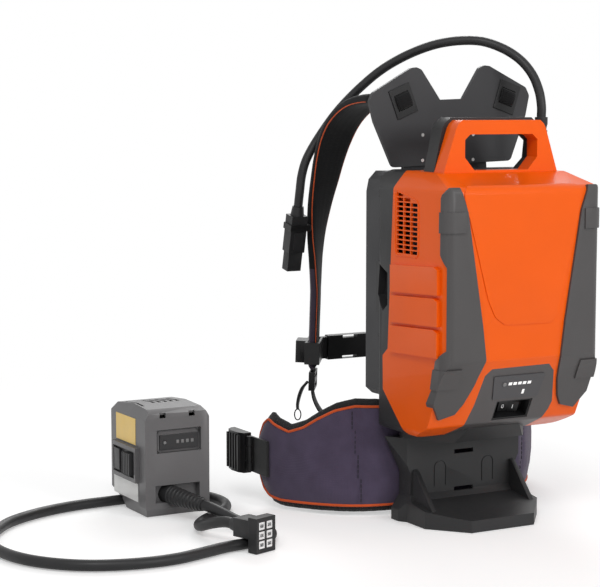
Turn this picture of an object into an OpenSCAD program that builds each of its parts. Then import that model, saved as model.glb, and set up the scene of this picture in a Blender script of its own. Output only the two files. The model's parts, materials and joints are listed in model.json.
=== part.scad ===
// Battery pack worn on the back, with its carrying harness, its power lead and the
// battery-shaped adapter set that feeds a hand-held tool.
// Millimetres, +Z up. The origin is the middle of the stand's base, on the ground.
// +Y points to the wearer, and +X is to the right of someone who faces the front panel.

/* [Battery body] */
// Width across the side panels
body_w = 208; // [200:1:220]
// Height from the lowest edge to the top
body_h = 305; // [295:1:325]
// Depth from the front panel to the back wall
body_d = 155; // [150:1:170]
// Depth of the front shell, up to the parting line
split_d = 119; // [115:1:124]
// Wall of the shells
wall = 3; // [2.4:0.1:3.6]
// How far the corner bumpers stand proud
bumper_t = 3; // [2:0.5:5]
// Height of one raised grip pad on the sides
grip_h = 32; // [26:1:33]
// How far the grip pads stand proud
grip_t = 5; // [3:0.5:6]
// Radius of the shells' outer edges
edge_r = 10; // [6:1:12]

/* [Carry handle] */
// Height of the handle above the body
handle_h = 57; // [50:1:70]
// Thickness of the top bar
handle_bar = 16; // [14:1:20]
// Depth of the orange front half
handle_front_d = 20; // [18:1:24]
// Depth of the grey rear half
handle_rear_d = 21; // [18:1:24]

/* [Vent grille] */
// Width of one slot
slot_w = 13.4; // [10:0.2:13.6]
// Height of one slot
slot_h = 3.9; // [3:0.1:4]
// Rows of slots
slot_rows = 13; // [10:1:14]

/* [Console] */
// Width of the power rocker
rocker_w = 26; // [22:1:28]
// Height of the power rocker
rocker_h = 14; // [11:1:15]
// Swing of the rocker to each side of its middle, in degrees
rocker_tilt = 8; // [5:1:9]
// Radius of the status button
button_r = 2.5; // [2:0.1:3]

/* [Cells] */
// Diameter of one cell
cell_d = 21.2; // [18.4:0.1:21.6]
// Length of one cell
cell_l = 70; // [65:1:72]
// Gap between one cell and the next
cell_gap = 1.2; // [0.8:0.1:1.4]

/* [Stand] */
// Height of the battery's lowest edge above the ground
stand_h = 109; // [105:1:120]
// Half of the base's width
base_half_w = 80; // [75:1:90]
// How far the base reaches in front of its middle
base_front = 57; // [50:1:65]
// Height of the base's rim
base_rim = 14; // [10:1:16]
// Wall of the stand
stand_wall = 4; // [3:0.5:5]

/* [Harness] */
// Depth of the harness frame
frame_d = 31; // [26:1:36]
// Thickness of the yoke plate
yoke_t = 5; // [4:0.5:7]
// Width of the shoulder straps
strap_w = 40; // [34:1:40]
// Thickness of the shoulder straps
strap_t = 12; // [9:1:13]
// Height of the padded straps' lower ends
strap_end = 156; // [154:1:158]
// Distance of each shoulder strap's lower end from the middle
strap_x = 84; // [82:1:84]
// Width of the plain webbing
web_w = 25; // [20:1:25]
// Thickness of the plain webbing
web_t = 2; // [1.6:0.1:2.4]
// Thickness of the hip belt
belt_t = 18; // [14:1:20]
// Thickness of one back pad
pad_t = 16; // [12:1:20]

/* [Adapter] */
// Width of the adapter
adapter_w = 84; // [80:1:92]
// Depth of the adapter
adapter_d = 102; // [98:1:110]
// Height of the adapter
adapter_h = 131; // [126:1:138]
// Wall of the adapter's shells
adapter_wall = 2.5; // [2:0.1:3]
// Travel of an adapter latch
latch_travel = 4; // [3:0.5:4.5]

/* [Leads] */
// Diameter of the output lead
lead_d = 11; // [9:0.5:11.5]
// Diameter of the adapter's lead
adapter_lead_d = 12.5; // [10:0.5:12.5]

/* [Hidden] */

$fn = 48;
run = 0.3;    // clearance between bodies that move apart
fit = 0.05;   // clearance of a pin or a screw in its hole
orange = [0.92, 0.36, 0.12];
dark = [0.22, 0.22, 0.22];
grey = [0.36, 0.36, 0.37];
black = [0.1, 0.1, 0.1];
purple = [0.25, 0.22, 0.28];

// ---- places of the battery body
yf = -91;               // front panel
yb = yf + body_d;       // back wall
ys = yf + split_d;      // parting line
zb = stand_h;           // lowest edge
zt = zb + body_h;       // top
hw = body_w / 2;
slope = 22 / 47;        // of the console: depth for each unit of height
knee_z = zb + 16;       // where the console turns under the body
knee_y = yf + 9 + (zb + 78 - knee_z) * slope;
function under_z(y) = zb + (yf + 74 - y) * (knee_z - zb) / (yf + 74 - knee_y);

function mirrored(pts) =
    concat(pts, [for (i = [len(pts) - 1:-1:0]) [-pts[i][0], pts[i][1]]]);

// Outlines of the body, each drawn in by i: from the side (y, z), from above and from the front
function side_outline(i) = [[yf + i, zt - 18 - i], [yf + i, zb + 95], [yf + 9 + i, zb + 78],
    [knee_y + i, knee_z + i], [yf + 74, zb + i], [yb - 12, zb + 4 + i],
    [yb - 8.5 - i, zb + 14 + i], [yb - 8.5 - i, zb + 32 + i], [yb - i, zb + 44 + i], [yb - i, zt - 10 - i], [yb - 10 - i, zt - i], [yf + 46, zt - 2 - i]];
function plan_outline(i) = mirrored([[hw - i, yf + i], [hw - i, yb - 14 - i],
    [hw - 10 - i, yb - i]]);
function front_outline(i) = mirrored([[hw - 22 - i, zb + i], [hw - i, zb + 3 + i],
    [hw - i, zt - 20 - i], [hw - 17 - i, zt - i]]);

// Extrusions square to the three planes: over X from (y, z), and over Y from (x, z)
module over_x(x0, x1) {
    translate([x0, 0, 0])
        rotate([90, 0, 90])
            linear_extrude(x1 - x0)
                children();
}
module over_y(y0, y1) {
    translate([0, y1, 0])
        rotate([90, 0, 0])
            linear_extrude(y1 - y0)
                children();
}
module both_sides() {
    for (s = [0, 1])
        mirror([s, 0, 0])
            children();
}
module aim(p, d) {
    translate(p)
        rotate([0, acos(d[2] / norm(d)), atan2(d[1], d[0])])
            children();
}
module softened(i) {
    r = edge_r - i;
    offset(r = r) offset(delta = -r) children();
}
module body_form(i) {
    intersection() {
        over_x(-hw - 20, hw + 20) softened(i) polygon(side_outline(i));
        translate([0, 0, zb - 20])
            linear_extrude(body_h + 40) softened(i) polygon(plan_outline(i));
        over_y(yf - 20, yb + 20) softened(i) polygon(front_outline(i));
    }
}

// ---- parting line between the two shells, as (y, z) points from the top down
parting = [[ys - 10, zt + 20], [ys - 3, zt - 102], [ys + 3, zb + 98], [ys + 14, zb + 89],
    [ys + 13, zb + 49], [yf + 79, zb - 1]];
front_region = concat([[yf - 20, zt + 20]], parting, [[yf - 20, zb - 1]]);
rear_region = concat([[yb + 5, zt + 20]], parting, [[yf + 79, zb - 5], [yb + 5, zb - 5]]);

// ---- shell bosses: one column of three on each side
boss_x = hw - wall - 7.5;
boss_z = [zb + 50, zb + 110, zt - 30];
boss_r = 5;
boss_front = ys - 12;    // where the front shell's boss meets the rear shell's tube
screw_r = 2;
head_r = 3.6;

// ---- console: a local frame on the sloping lower front, z up the slope and y inwards
slope_a = atan(slope);
module on_console() {
    translate([0, yf + 31, zb + 31])
        rotate([slope_a, 0, 0])
            children();
}
console_outline = [[-38, zb + 84], [-45, zb + 76], [-48, zb + 41], [-54, zb + 15],
    [-58, zb - 2], [58, zb - 2], [55, zb + 15], [61, zb + 27], [63, zb + 37], [51, zb + 76],
    [41, zb + 85]];
well_x = 8;          // middle of the switch well
well_w = rocker_w + 24;
well_h = rocker_h + 12;
well_d = 14;
rocker_x = well_x + 3;
rocker_z = -3.5;     // up the slope
button_x = -15;
key_z = 37;       // up the slope, like the lamps' row
led_n = 5;
led_pitch = 6.6;
led_w = 4.6;
led_h = 3.6;
led_x = button_x + 6;
lamp_x = 13;

// ---- gland of the output lead, on the shoulder of the front shell
gland_x = 94;
gland_y = 7;
gland_r = 8.5;
gland_top = 474;

slot_bar = 1.5;      // between one slot and the next
module grille_cuts() {
    col = slot_w + slot_bar;
    row = slot_h + slot_bar;
    for (c = [0:2], r = [0:slot_rows - 1])
        if (r < slot_rows - 2 + c)
            translate([hw - wall - 2, yf + 105 - (3 - c) * col, zt - 94 + r * row])
                cube([wall + 4, slot_w, slot_h]);
}
module grip_pads() {
    intersection() {
        difference() {
            body_form(-grip_t);
            body_form(0.5);
        }
        for (k = [0:2])
            over_x(hw - 30, hw + 5)
                polygon([[yf + 12, zb + 100 + k * (grip_h + 3)],
                    [yf + 110, zb + 96 + k * (grip_h + 3)],
                    [yf + 110, zb + 95 + grip_h + k * (grip_h + 3)],
                    [yf + 20, zb + 99 + grip_h + k * (grip_h + 3)],
                    [yf + 12, zb + 96 + grip_h + k * (grip_h + 3)]]);
    }
}
// A raised field on the front panel, with a rounded lower end
module front_field() {
    intersection() {
        difference() {
            body_form(-1.2);
            body_form(0.5);
        }
        over_y(yf - 5, yf + 12)
            offset(r = 12) offset(delta = -12)
                polygon([[-hw + 18, zt - 14], [hw - 22, zt - 14], [hw - 34, zt - 74],
                    [57, zb + 181], [49, zb + 145], [38, zb + 133], [-26, zb + 134],
                    [-39, zb + 143], [-49, zb + 163], [-54, zb + 181], [-hw + 36, zt - 74]]);
    }
}
module shell_boss(y0, y1) {
    for (z = boss_z)
        translate([boss_x, y1, z])
            rotate([90, 0, 0])
                cylinder(r = boss_r, h = y1 - y0);
}
module front_shell() {
    color(orange)
    difference() {
        union() {
            intersection() {
                difference() {
                    body_form(0);
                    body_form(wall);
                }
                over_x(-hw - 5, hw + 5) polygon(front_region);
            }
            front_field();
            both_sides() {
                grip_pads();
                shell_boss(boss_front - 25, boss_front);
                for (z = boss_z)
                    translate([boss_x, boss_front - 25, z - 1.5])
                        cube([hw - wall / 2 - boss_x, 25, 3]);
            }
        }
        over_y(yf - 20, yf + 80) polygon(console_outline);
        both_sides() {
            grille_cuts();
            for (z = boss_z)
                translate([boss_x, boss_front + 1, z])
                    rotate([90, 0, 0])
                        cylinder(r = screw_r + fit, h = 22);
        }
        translate([gland_x, gland_y, zt - 40]) cylinder(r = gland_r + fit, h = 60);
        both_sides()
            for (y = handle_screw_y)
                translate([handle_foot_x, y, zt - 30]) {
                    cylinder(r = screw_r + fit, h = 40);
                    cylinder(r = head_r + fit, h = 26);
                }
    }
}

// Side pocket in the grey rear shell: a slanted finger hold
pocket_z = zb + 141;
pocket_h = 55;
pocket_d = 12;
pocket = [[ys + 4, pocket_z + 8], [ys + 4, pocket_z + pocket_h - 10],
    [yb - 12, pocket_z + pocket_h], [yb - 8, pocket_z + 18], [yb - 22, pocket_z]];
pocket_liner = [[ys + 3.5, pocket_z - 3], [ys + 3.5, pocket_z + pocket_h + 2],
    [yb - 4, pocket_z + pocket_h + 2], [yb - 4, pocket_z - 3]];
cell_pitch = cell_d + cell_gap;
cell_cols = floor((body_w - 2 * wall - 30) / cell_pitch);
cell_rows = floor((body_h - 78) / cell_pitch);
post_x = cell_cols * cell_pitch / 2 + 3.5;
post_z = [zb + 80, zt - 34];
board_post_x = 60;
board_post_z = [zb + 111, zt - 74];
frame_bolt_x = 68;
frame_bolt_z = [zb + 62, zt - 65];

chin_x = 84;
chin_y = yf + 54;
module rear_shell() {
    color(dark)
    difference() {
        union() {
            intersection() {
                difference() {
                    body_form(0);
                    body_form(wall);
                }
                over_x(-hw - 5, hw + 5) polygon(rear_region);
            }
            // chin under the console, on the stand
            intersection() {
                over_x(-chin_x, chin_x)
                    polygon([[chin_y, under_z(chin_y) - fit],
                        [chin_y - 1, zb + 9], [chin_y + 12, zb - 9], [yb - 22, zb - 9],
                        [yb - 28, zb + 9.5], [yf + 86, zb + 3], [yf + 81, zb + 0.3],
                        [yf + 74, zb - fit]]);
                translate([0, 0, zb - 20])
                    linear_extrude(60)
                        offset(r = 12) offset(delta = -12)
                            polygon(mirrored([[chin_x - 50, chin_y - 2], [chin_x - 32, chin_y + 15],
                                [chin_x - 4, chin_y + 53], [chin_x, chin_y + 67],
                                [chin_x, yb - 20]]));
            }
            both_sides() {
                shell_boss(boss_front, yb - wall + 1);
                over_x(hw - pocket_d - wall, hw - wall + 1) polygon(pocket_liner);
                for (z = post_z)
                    translate([post_x, yb - wall + 1, z])
                        rotate([90, 0, 0])
                            cylinder(r = 6, h = yb - wall + 1 - holder_back);
                for (z = board_post_z)
                    translate([board_post_x, yb - wall + 1, z])
                        rotate([90, 0, 0])
                            cylinder(r = 4, h = yb - wall + 1 - board_back);
                for (z = frame_bolt_z)
                    translate([frame_bolt_x, yb - wall + 1, z])
                        rotate([90, 0, 0])
                            cylinder(r = 6, h = 13);
            }
        }
        both_sides() {
            over_x(hw - pocket_d, hw + 1) polygon(pocket);
            for (z = boss_z)
                translate([boss_x, yb + 1, z])
                    rotate([90, 0, 0]) {
                        cylinder(r = screw_r + fit, h = body_d);
                        cylinder(r = head_r + fit, h = 5);
                    }
            for (z = post_z)
                translate([post_x, holder_back + 16, z])
                    rotate([90, 0, 0])
                        cylinder(r = screw_r + fit, h = 17);
            for (z = frame_bolt_z)
                translate([frame_bolt_x, yb + 1, z])
                    rotate([90, 0, 0])
                        cylinder(r = frame_bolt_r + fit, h = 13);
            translate([stand_screw_x, stand_screw_y, zb - 10])
                cylinder(r = screw_r + fit, h = 8);
        }
    }
}

// ---- bumpers on the two front corners
bumper_front = [[hw - 4, zt - 16], [hw - 16, zt - 16], [hw - 26, zt - 44], [hw - 36, zt - 102],
    [hw - 47, zt - 170], [hw - 52, zb + 96], [hw - 46, zb + 66], [hw - 38, zb + 44],
    [hw - 30, zb + 32], [hw - 10, zb + 27], [hw + 8, zb + 54], [hw + 8, zt - 30]];
bumper_side = [[yf - 8, zt - 10], [yf + 4, zt - 17], [yf + 9, zt - 28], [yf + 9.5, zt - 90],
    [yf + 1, zt - 104], [yf + 1, zb + 109], [yf + 18, zb + 96], [yf + 25, zb + 63],
    [yf + 40, zb + 40], [yf + 40, zb + 20], [yf - 8, zb + 20]];
// The body itself is not quite the same on both sides, so only the bumper's own outlines change
// sides: side is 1 on the right and -1 on the left.
module corner_bumper(side) {
    color(grey)
    difference() {
        intersection() {
            union() {
                body_form(-bumper_t);
                for (z = [zb + 64, zt - 66])
                    intersection() {
                        body_form(-bumper_t - 2);
                        mirror([side < 0 ? 1 : 0, 0, 0])
                            translate([hw - 22, yf - 20, z]) cube([40, 50, 23]);
                    }
            }
            mirror([side < 0 ? 1 : 0, 0, 0]) {
                intersection() {
                    over_y(yf - 20, yf + 80) polygon(bumper_front);
                    over_x(hw - 60, hw + 20) polygon(bumper_side);
                }
            }
        }
        body_form(0);
        over_y(yf - 20, yf + 80) polygon(console_outline);
        front_field();
        mirror([side < 0 ? 1 : 0, 0, 0]) grip_pads();
    }
}
module corner_bumper_left() {
    corner_bumper(-1);
}
module corner_bumper_right() {
    corner_bumper(1);
}

// ---- carry handle
handle_y = -45;
handle_foot_x = 66;
handle_screw_y = [handle_y + handle_front_d / 2, handle_y + handle_front_d + handle_rear_d / 2];
handle_top = zt + handle_h;
// Each half has an outer and an inner outline; the rear one stands higher, with a wider opening
handle_outer = mirrored([[78, zt - 20], [79, zt - 3], [62, handle_top - 9], [59, handle_top - 4],
    [54, handle_top]]);
handle_inner = mirrored([[37, zt + 0.5], [50, zt + 15], [50, handle_top - handle_bar - 6],
    [43, handle_top - handle_bar]]);
handle_rise = 3;
rear_outer = mirrored([[78, zt - 20], [79, zt - 3], [68, handle_top - 9],
    [64, handle_top - 3], [56, handle_top + handle_rise]]);
rear_inner = mirrored([[45, zt + 0.5], [58, zt + 13], [60, handle_top - handle_bar - 8],
    [50, handle_top - handle_bar]]);
module handle_half(y0, y1, outer, inner) {
    difference() {
        over_y(y0, y1)
            difference() {
                polygon(outer);
                polygon(inner);
            }
        body_form(0);
        translate([-hw, y0 - 1, zt - 40]) cube([body_w, y1 - y0 + 2, 20]);
        both_sides()
            for (y = handle_screw_y)
                translate([handle_foot_x, y, zt - 30]) cylinder(r = screw_r + fit, h = 42);
    }
}
module handle_front() {
    color(orange)
        handle_half(handle_y, handle_y + handle_front_d, handle_outer, handle_inner);
}
module handle_rear() {
    color(dark)
        handle_half(handle_y + handle_front_d, handle_y + handle_front_d + handle_rear_d,
            rear_outer, rear_inner);
}

// ---- console
module console() {
    color(grey)
    difference() {
        union() {
            intersection() {
                difference() {
                    body_form(0);
                    body_form(wall);
                }
                over_x(-hw, hw) polygon(front_region);
                over_y(yf - 20, yf + 80) polygon(console_outline);
            }
            intersection() {
                on_console() translate([-34, 0.5, 17]) cube([76, 8, 31]);
                body_form(0.5);
            }
        }
        on_console() {
            translate([well_x - well_w / 2, -8, -well_h / 2])
                cube([well_w, 24, well_h]);
            translate([-30, wall, 24]) cube([68, 12, 22]);
            translate([button_x, -5, key_z])
                rotate([-90, 0, 0]) cylinder(r = button_r + run, h = 20);
        }
    }
}
module status_panel() {
    color(dark)
    on_console()
        difference() {
            over_y(-1.2, 0) polygon([[-32, 48], [37, 48], [40, 45], [38, 17], [-25, 17]]);
            translate([button_x, -3, key_z])
                rotate([-90, 0, 0]) cylinder(r = button_r + run, h = 6);
            for (k = [0:led_n - 1])
                translate([led_x + led_pitch * k, -3, key_z - led_h / 2])
                    cube([led_w, 6, led_h]);
            translate([lamp_x, -3, 22]) cube([3, 6, 6]);
        }
}
module status_leds() {
    color("white")
    on_console() {
        for (k = [0:led_n - 1])
            translate([led_x + led_pitch * k, -1.5, key_z - led_h / 2])
                cube([led_w, 1.5, led_h]);
        translate([lamp_x, -1.5, 22]) cube([3, 1.5, 6]);
    }
}
module status_button() {
    color(grey)
    on_console()
        translate([button_x, -2.6, key_z])
            rotate([-90, 0, 0]) {
                cylinder(r = button_r, h = 6);
                translate([0, 0, 2.6 + wall + run]) cylinder(r = button_r + 1.2, h = 1.2);
            }
}
module status_board() {
    color("darkgreen")
    on_console() {
        translate([-34, 8.5, 22]) cube([76, 1.6, 26]);
    }
}
module switch_well() {
    color(black)
    on_console()
        difference() {
            union() {
                translate([well_x - well_w / 2, 1, -well_h / 2])
                    cube([well_w, well_d + 1, well_h]);
                translate([rocker_x - rocker_w / 2 - 3, well_d, rocker_z - rocker_h / 2 - 3])
                    cube([rocker_w + 6, 18, rocker_h + 6]);
            }
            translate([well_x - well_w / 2 + 2, -1, -well_h / 2 + 2])
                cube([well_w - 4, well_d + 1, well_h - 4]);
            translate([rocker_x - rocker_w / 2 - 0.8, well_d - 1, rocker_z - rocker_h / 2 - run])
                cube([rocker_w + 1.6, 17, rocker_h + 2 * run]);
            translate([rocker_x, rocker_pivot, rocker_z - rocker_h / 2 - 4])
                cylinder(r = 1.5 + fit, h = rocker_h + 8);
        }
}
rocker_pivot = well_d + 4;
module power_rocker() {
    color(black)
    on_console()
        translate([rocker_x, rocker_pivot, rocker_z - rocker_h / 2])
            rotate([0, 0, -rocker_tilt]) {
                linear_extrude(rocker_h)
                    polygon([[-rocker_w / 2, -8], [0, -5.5], [rocker_w / 2, -8],
                        [rocker_w / 2 - 2, 6], [-rocker_w / 2 + 2, 6]]);
                translate([0, 0, -2.5]) cylinder(r = 1.5, h = rocker_h + 5);
            }
}

// ---- cells and electronics
cell_y = yf + 37;
cell_back = cell_y + cell_l;
holder_t = 10;
holder_back = cell_back;
board_back = cell_back + 12;
cell_z0 = zb + 66;
function cell_x(c) = (c - (cell_cols - 1) / 2) * cell_pitch;
function cell_z(r) = cell_z0 + (r + 0.5) * cell_pitch;
module cell_grid(r, l) {
    for (c = [0:cell_cols - 1], k = [0:cell_rows - 1])
        translate([cell_x(c), l, cell_z(k)])
            rotate([90, 0, 0])
                cylinder(r = r, h = l);
}
module cells() {
    color("steelblue")
        translate([0, cell_y, 0]) cell_grid(cell_d / 2, cell_l);
}
module cell_holder(y0) {
    half = cell_cols * cell_pitch / 2 + 6.5;
    difference() {
        translate([-half, y0, cell_z0 - 3])
            cube([2 * half, holder_t, cell_rows * cell_pitch + 6]);
        for (c = [0:cell_cols - 1], k = [0:cell_rows - 1])
            translate([cell_x(c), y0 + holder_t + 1, cell_z(k)])
                rotate([90, 0, 0])
                    cylinder(r = cell_d / 2 + 0.1, h = holder_t + 2);
    }
}
module holder_with_ears(y0) {
    color("dimgray")
    difference() {
        cell_holder(y0);
        both_sides()
            for (z = post_z)
                translate([post_x, y0 + holder_t + 1, z])
                    rotate([90, 0, 0])
                        cylinder(r = screw_r + fit, h = holder_t + 2);
    }
}
module cell_holder_front() {
    holder_with_ears(cell_y);
}
module cell_holder_rear() {
    holder_with_ears(cell_back - holder_t);
}
module busbar(y0, k0, k1) {
    translate([cell_x(0) - 8, y0, cell_z(k0) - 7])
        cube([(cell_cols - 1) * cell_pitch + 16, 0.5, (k1 - k0) * cell_pitch + 14]);
}
module busbars() {
    color("silver") {
        for (k = [0:2:cell_rows - 2])
            busbar(cell_back, k, k + 1);
        busbar(cell_y - 0.5, 0, 0);
        for (k = [1:2:cell_rows - 2])
            busbar(cell_y - 0.5, k, min(k + 1, cell_rows - 1));
        if (cell_rows % 2 == 0)
            busbar(cell_y - 0.5, cell_rows - 1, cell_rows - 1);
        else
            busbar(cell_back, cell_rows - 1, cell_rows - 1);
    }
}
module control_board() {
    color("darkgreen") {
        translate([-board_post_x - 8, board_back - 1.6, board_post_z[0] - 10])
            cube([2 * board_post_x + 16, 1.6, board_post_z[1] - board_post_z[0] + 20]);
        for (x = [-40:20:40])
            translate([x - 6, board_back - 7.6, board_post_z[0] + 6]) cube([12, 6, 5]);
        translate([-22, board_back - 6.6, board_post_z[0] + 50]) cube([44, 5, 30]);
    }
}
module pack_bolts() {
    color("silver")
    both_sides()
        for (z = post_z)
            translate([post_x, cell_y - 3, z])
                rotate([-90, 0, 0]) {
                    cylinder(r = head_r, h = 3);
                    cylinder(r = screw_r, h = cell_l + 3 + 14);
                }
}
module shell_screws() {
    color("silver")
    both_sides()
        for (z = boss_z)
            translate([boss_x, yb - 4, z])
                rotate([90, 0, 0]) {
                    translate([0, 0, -3]) cylinder(r = head_r, h = 3);
                    cylinder(r = screw_r, h = yb - 4 - boss_front + 18);
                }
    // short ones, up into the handle's feet
    color("silver")
    both_sides()
        for (y = handle_screw_y)
            translate([handle_foot_x, y, zt - 7]) {
                cylinder(r = head_r, h = 3);
                cylinder(r = screw_r, h = 18);
            }
}

// ---- output lead, from the gland over the yoke to its connector on the left strap
out_points = [[94, 7, 474], [94, 7, 487], [93, 11, 505], [89, 20, 525], [80, 34, 543],
    [64, 51, 557], [44, 72, 565], [16, 100, 563], [-10, 126, 552], [-36, 152, 533],
    [-59, 173, 508], [-80, 190, 480], [-98, 202, 450], [-113, 206, 424], [-120, 207, 403],
    [-122.5, 208, 382], [-122.5, 212, 364]];
adapter_points = [[-290, 138, 21], [-286, 126, 20], [-279, 109, 16], [-271, 91, 11],
    [-261, 74, 8], [-254, 56, 6.5], [-255, 36, 6.5], [-266, 18, 6.5], [-284, 7, 6.5],
    [-305, 3, 6.5], [-332, -1, 6.5], [-364, -11, 6.5], [-398, -20, 6.5], [-433, -20, 6.5],
    [-467, -12, 6.5], [-497, 3, 6.5], [-522, 26, 6.5], [-541, 56, 6.5], [-551, 90, 6.5],
    [-552, 126, 6.5], [-543, 162, 6.5], [-524, 195, 6.5], [-498, 225, 6.5], [-465, 247, 6.5],
    [-429, 262, 6.5], [-392, 270, 6.5], [-354, 272, 6.5], [-318, 272, 6.5], [-286, 270, 6.5],
    [-258, 265, 6.5], [-242, 247, 6.5], [-234, 224, 6.5], [-234, 197, 6.5], [-244, 172, 6.5],
    [-265, 149, 6.5], [-291, 130, 6.5], [-310, 109, 7], [-319, 85, 11], [-317, 60, 19],
    [-311, 40, 24], [-307, 28, 24]];

function unit(v) = v / norm(v);
function heading(p, k) = unit(p[min(k + 1, len(p) - 1)] - p[max(k - 1, 0)]);
function ring(p, k, r, side, n) =
    let (t = heading(p, k), u = unit(cross(t, side)), w = cross(t, u))
    [for (j = [0:n - 1]) p[k] + r * (cos(360 * j / n) * u + sin(360 * j / n) * w)];
function tube_faces(rings, n) = concat(
    [for (k = [0:rings - 2], j = [0:n - 1])
        let (a = k * n + j, b = k * n + (j + 1) % n)
        each [[a, a + n, b], [b, a + n, b + n]]],
    [for (j = [1:n - 2]) each [[0, j, j + 1],
        [(rings - 1) * n, (rings - 1) * n + j + 1, (rings - 1) * n + j]]]);
// A tube through p, of radius r and n sides; side is a direction that the route never takes
module tube(p, r, side, n) {
    polyhedron([for (k = [0:len(p) - 1]) each ring(p, k, r, side, n)], tube_faces(len(p), n));
}
module cable_gland() {
    color(black)
    translate([gland_x, gland_y, 0])
        rotate_extrude()
            polygon(concat([[0, zt - 26], [gland_r, zt - 26], [gland_r, zt + 8]],
                [for (k = [0:6], q = [0, 1, 2, 3])
                    [8.4 - 0.18 * k - (q > 1 ? 1 : 0), zt + 12 + 5 * k + [0, 2.5, 2.5, 5][q]]],
                [[7.6, gland_top - 8], [7.6, gland_top], [0, gland_top]]));
}
module output_lead() {
    color(black) tube(out_points, lead_d / 2, [1, 1, 0], 10);
}
conn_end = out_points[len(out_points) - 1];
conn_w = 22;
conn_t = 17;
conn_l = 82;
clip_arm = 5.5;      // reaches from the connector to the strap's edge
module connector_frame() {
    translate(conn_end)
        rotate([atan2(4, 18), 0, 0])
            children();
}
module lead_connector() {
    color(black)
    connector_frame() {
        translate([0, 0, -12]) cylinder(r1 = 8.5, r2 = 7, h = 12);
        translate([-conn_w / 2, -conn_t / 2, -58]) cube([conn_w, conn_t, 46.5]);
        translate([-conn_w / 2 + 1.5, -conn_t / 2 + 1.5, -conn_l])
            cube([conn_w - 3, conn_t - 3, conn_l - 57]);
        translate([-6, -conn_t / 2 - 2, -54]) cube([12, 3, 22]);
    }
}
module lead_clip() {
    color(black)
    connector_frame()
        difference() {
            translate([-conn_w / 2 - 1.5, -conn_t / 2 - 1.5, -30])
                cube([conn_w + 1.5 + clip_arm, conn_t + 3, 8]);
            translate([-conn_w / 2 - fit, -conn_t / 2 - fit, -31])
                cube([conn_w + 2 * fit, conn_t + 2 * fit, 10]);
        }
}

// ---- stand
plate_y = yb - 39;
plate_top = zb - 9;
stand_back = yb - 14;
stand_screw_x = 64;
stand_screw_y = plate_y + 12;
stand_side = [[-base_front, 0], [-base_front, base_rim], [-base_front + 18, base_rim + 2],
    [plate_y - 6, base_rim + 11], [plate_y, base_rim + 18], [plate_y, plate_top],
    [stand_back, plate_top], [stand_back, 0]];
stand_waist = base_half_w - 5;
stand_flare = 16;    // of the sides, from the front plate back to the stand's rear edge
stand_plan = mirrored([[base_half_w - 36, -base_front], [base_half_w, -14],
    [base_half_w, plate_y], [base_half_w + stand_flare, stand_back]]);
stand_front = mirrored([[base_half_w + 6, 0], [base_half_w + 6, base_rim],
    [stand_waist, base_rim + 16], [stand_waist, plate_top - 42],
    [base_half_w + stand_flare, plate_top]]);
module stand_form() {
    intersection() {
        over_x(-base_half_w - stand_flare, base_half_w + stand_flare) polygon(stand_side);
        translate([0, 0, -1]) linear_extrude(plate_top + 10) polygon(stand_plan);
        over_y(-base_front - 1, stand_back + 1) polygon(stand_front);
    }
}
module stand_hollow() {
    w = stand_wall;
    // under the shelf
    intersection() {
        over_x(-base_half_w + w, base_half_w - w)
            polygon([[-base_front + w, -1], [-base_front + w, base_rim - w],
                [-base_front + 18, base_rim + 2 - w], [plate_y - 6, base_rim + 11 - w],
                [plate_y + w, base_rim + 11 - w], [plate_y + w, -1]]);
        translate([0, 0, -2]) linear_extrude(60)
            polygon(mirrored([[base_half_w - 36 - w / 2, -base_front + w],
                [base_half_w - w, -14 + w / 2], [base_half_w - w, stand_back]]));
    }
    // behind the front plate, open to the back and to the ground
    intersection() {
        over_y(plate_y + w, stand_back + 1)
            polygon(mirrored([[base_half_w + 6 - w, -1], [base_half_w + 6 - w, base_rim - 2],
                [stand_waist - w, base_rim + 16], [stand_waist - w, plate_top - 42],
                [base_half_w + stand_flare - w - 3, plate_top - w - 4]]));
        translate([0, 0, -2])
            linear_extrude(plate_top + 10)
                polygon(mirrored([[base_half_w - w, plate_y],
                    [base_half_w + stand_flare - w, stand_back], [base_half_w + stand_flare - w, stand_back + 2]]));
    }
}
module stand_gusset() {
    x0 = base_half_w - 14;
    over_x(x0, x0 + 6)
        polygon([[plate_y, base_rim + 12], [plate_y, plate_top - 38], [plate_y - 5, plate_top - 40],
            [-base_front + 38, base_rim + 4], [-base_front + 36, base_rim]]);
}
module arch_groove() {
    // a shallow U-shaped line in the plate
    difference() {
        over_y(plate_y - 1, plate_y + 1) {
            translate([34, plate_top - 39]) circle(r = 8.5);
            translate([25.5, plate_top - 61]) square([17, 22]);
        }
        over_y(plate_y - 2, plate_y + 2) {
            translate([34, plate_top - 39]) circle(r = 7.3);
            translate([26.7, plate_top - 62]) square([14.6, 23]);
        }
    }
}
module stand() {
    color(dark)
    difference() {
        union() {
            difference() {
                stand_form();
                stand_hollow();
            }
            both_sides() stand_gusset();
            // ribs under the shelf
            translate([-base_half_w + 10, -stand_wall / 2, 0])
                cube([2 * base_half_w - 20, stand_wall, base_rim + 2]);
            translate([-stand_wall / 2, -base_front + 2, 0])
                cube([stand_wall, base_front + plate_y, base_rim]);
        }
        for (z = [plate_top - 22, plate_top - 67])
            translate([-13.5, plate_y - 1, z - 2.5]) cube([27, stand_wall + 3, 5]);
        both_sides() {
            arch_groove();
            translate([stand_screw_x, stand_screw_y, plate_top - 20])
                cylinder(r = screw_r + fit, h = 30);
        }
    }
}
module stand_screws() {
    color("silver")
    both_sides()
        translate([stand_screw_x, stand_screw_y, plate_top - stand_wall - 4 - 3]) {
            cylinder(r = head_r, h = 3);
            cylinder(r = screw_r, h = 3 + stand_wall + 4 + 6);
        }
}

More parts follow.
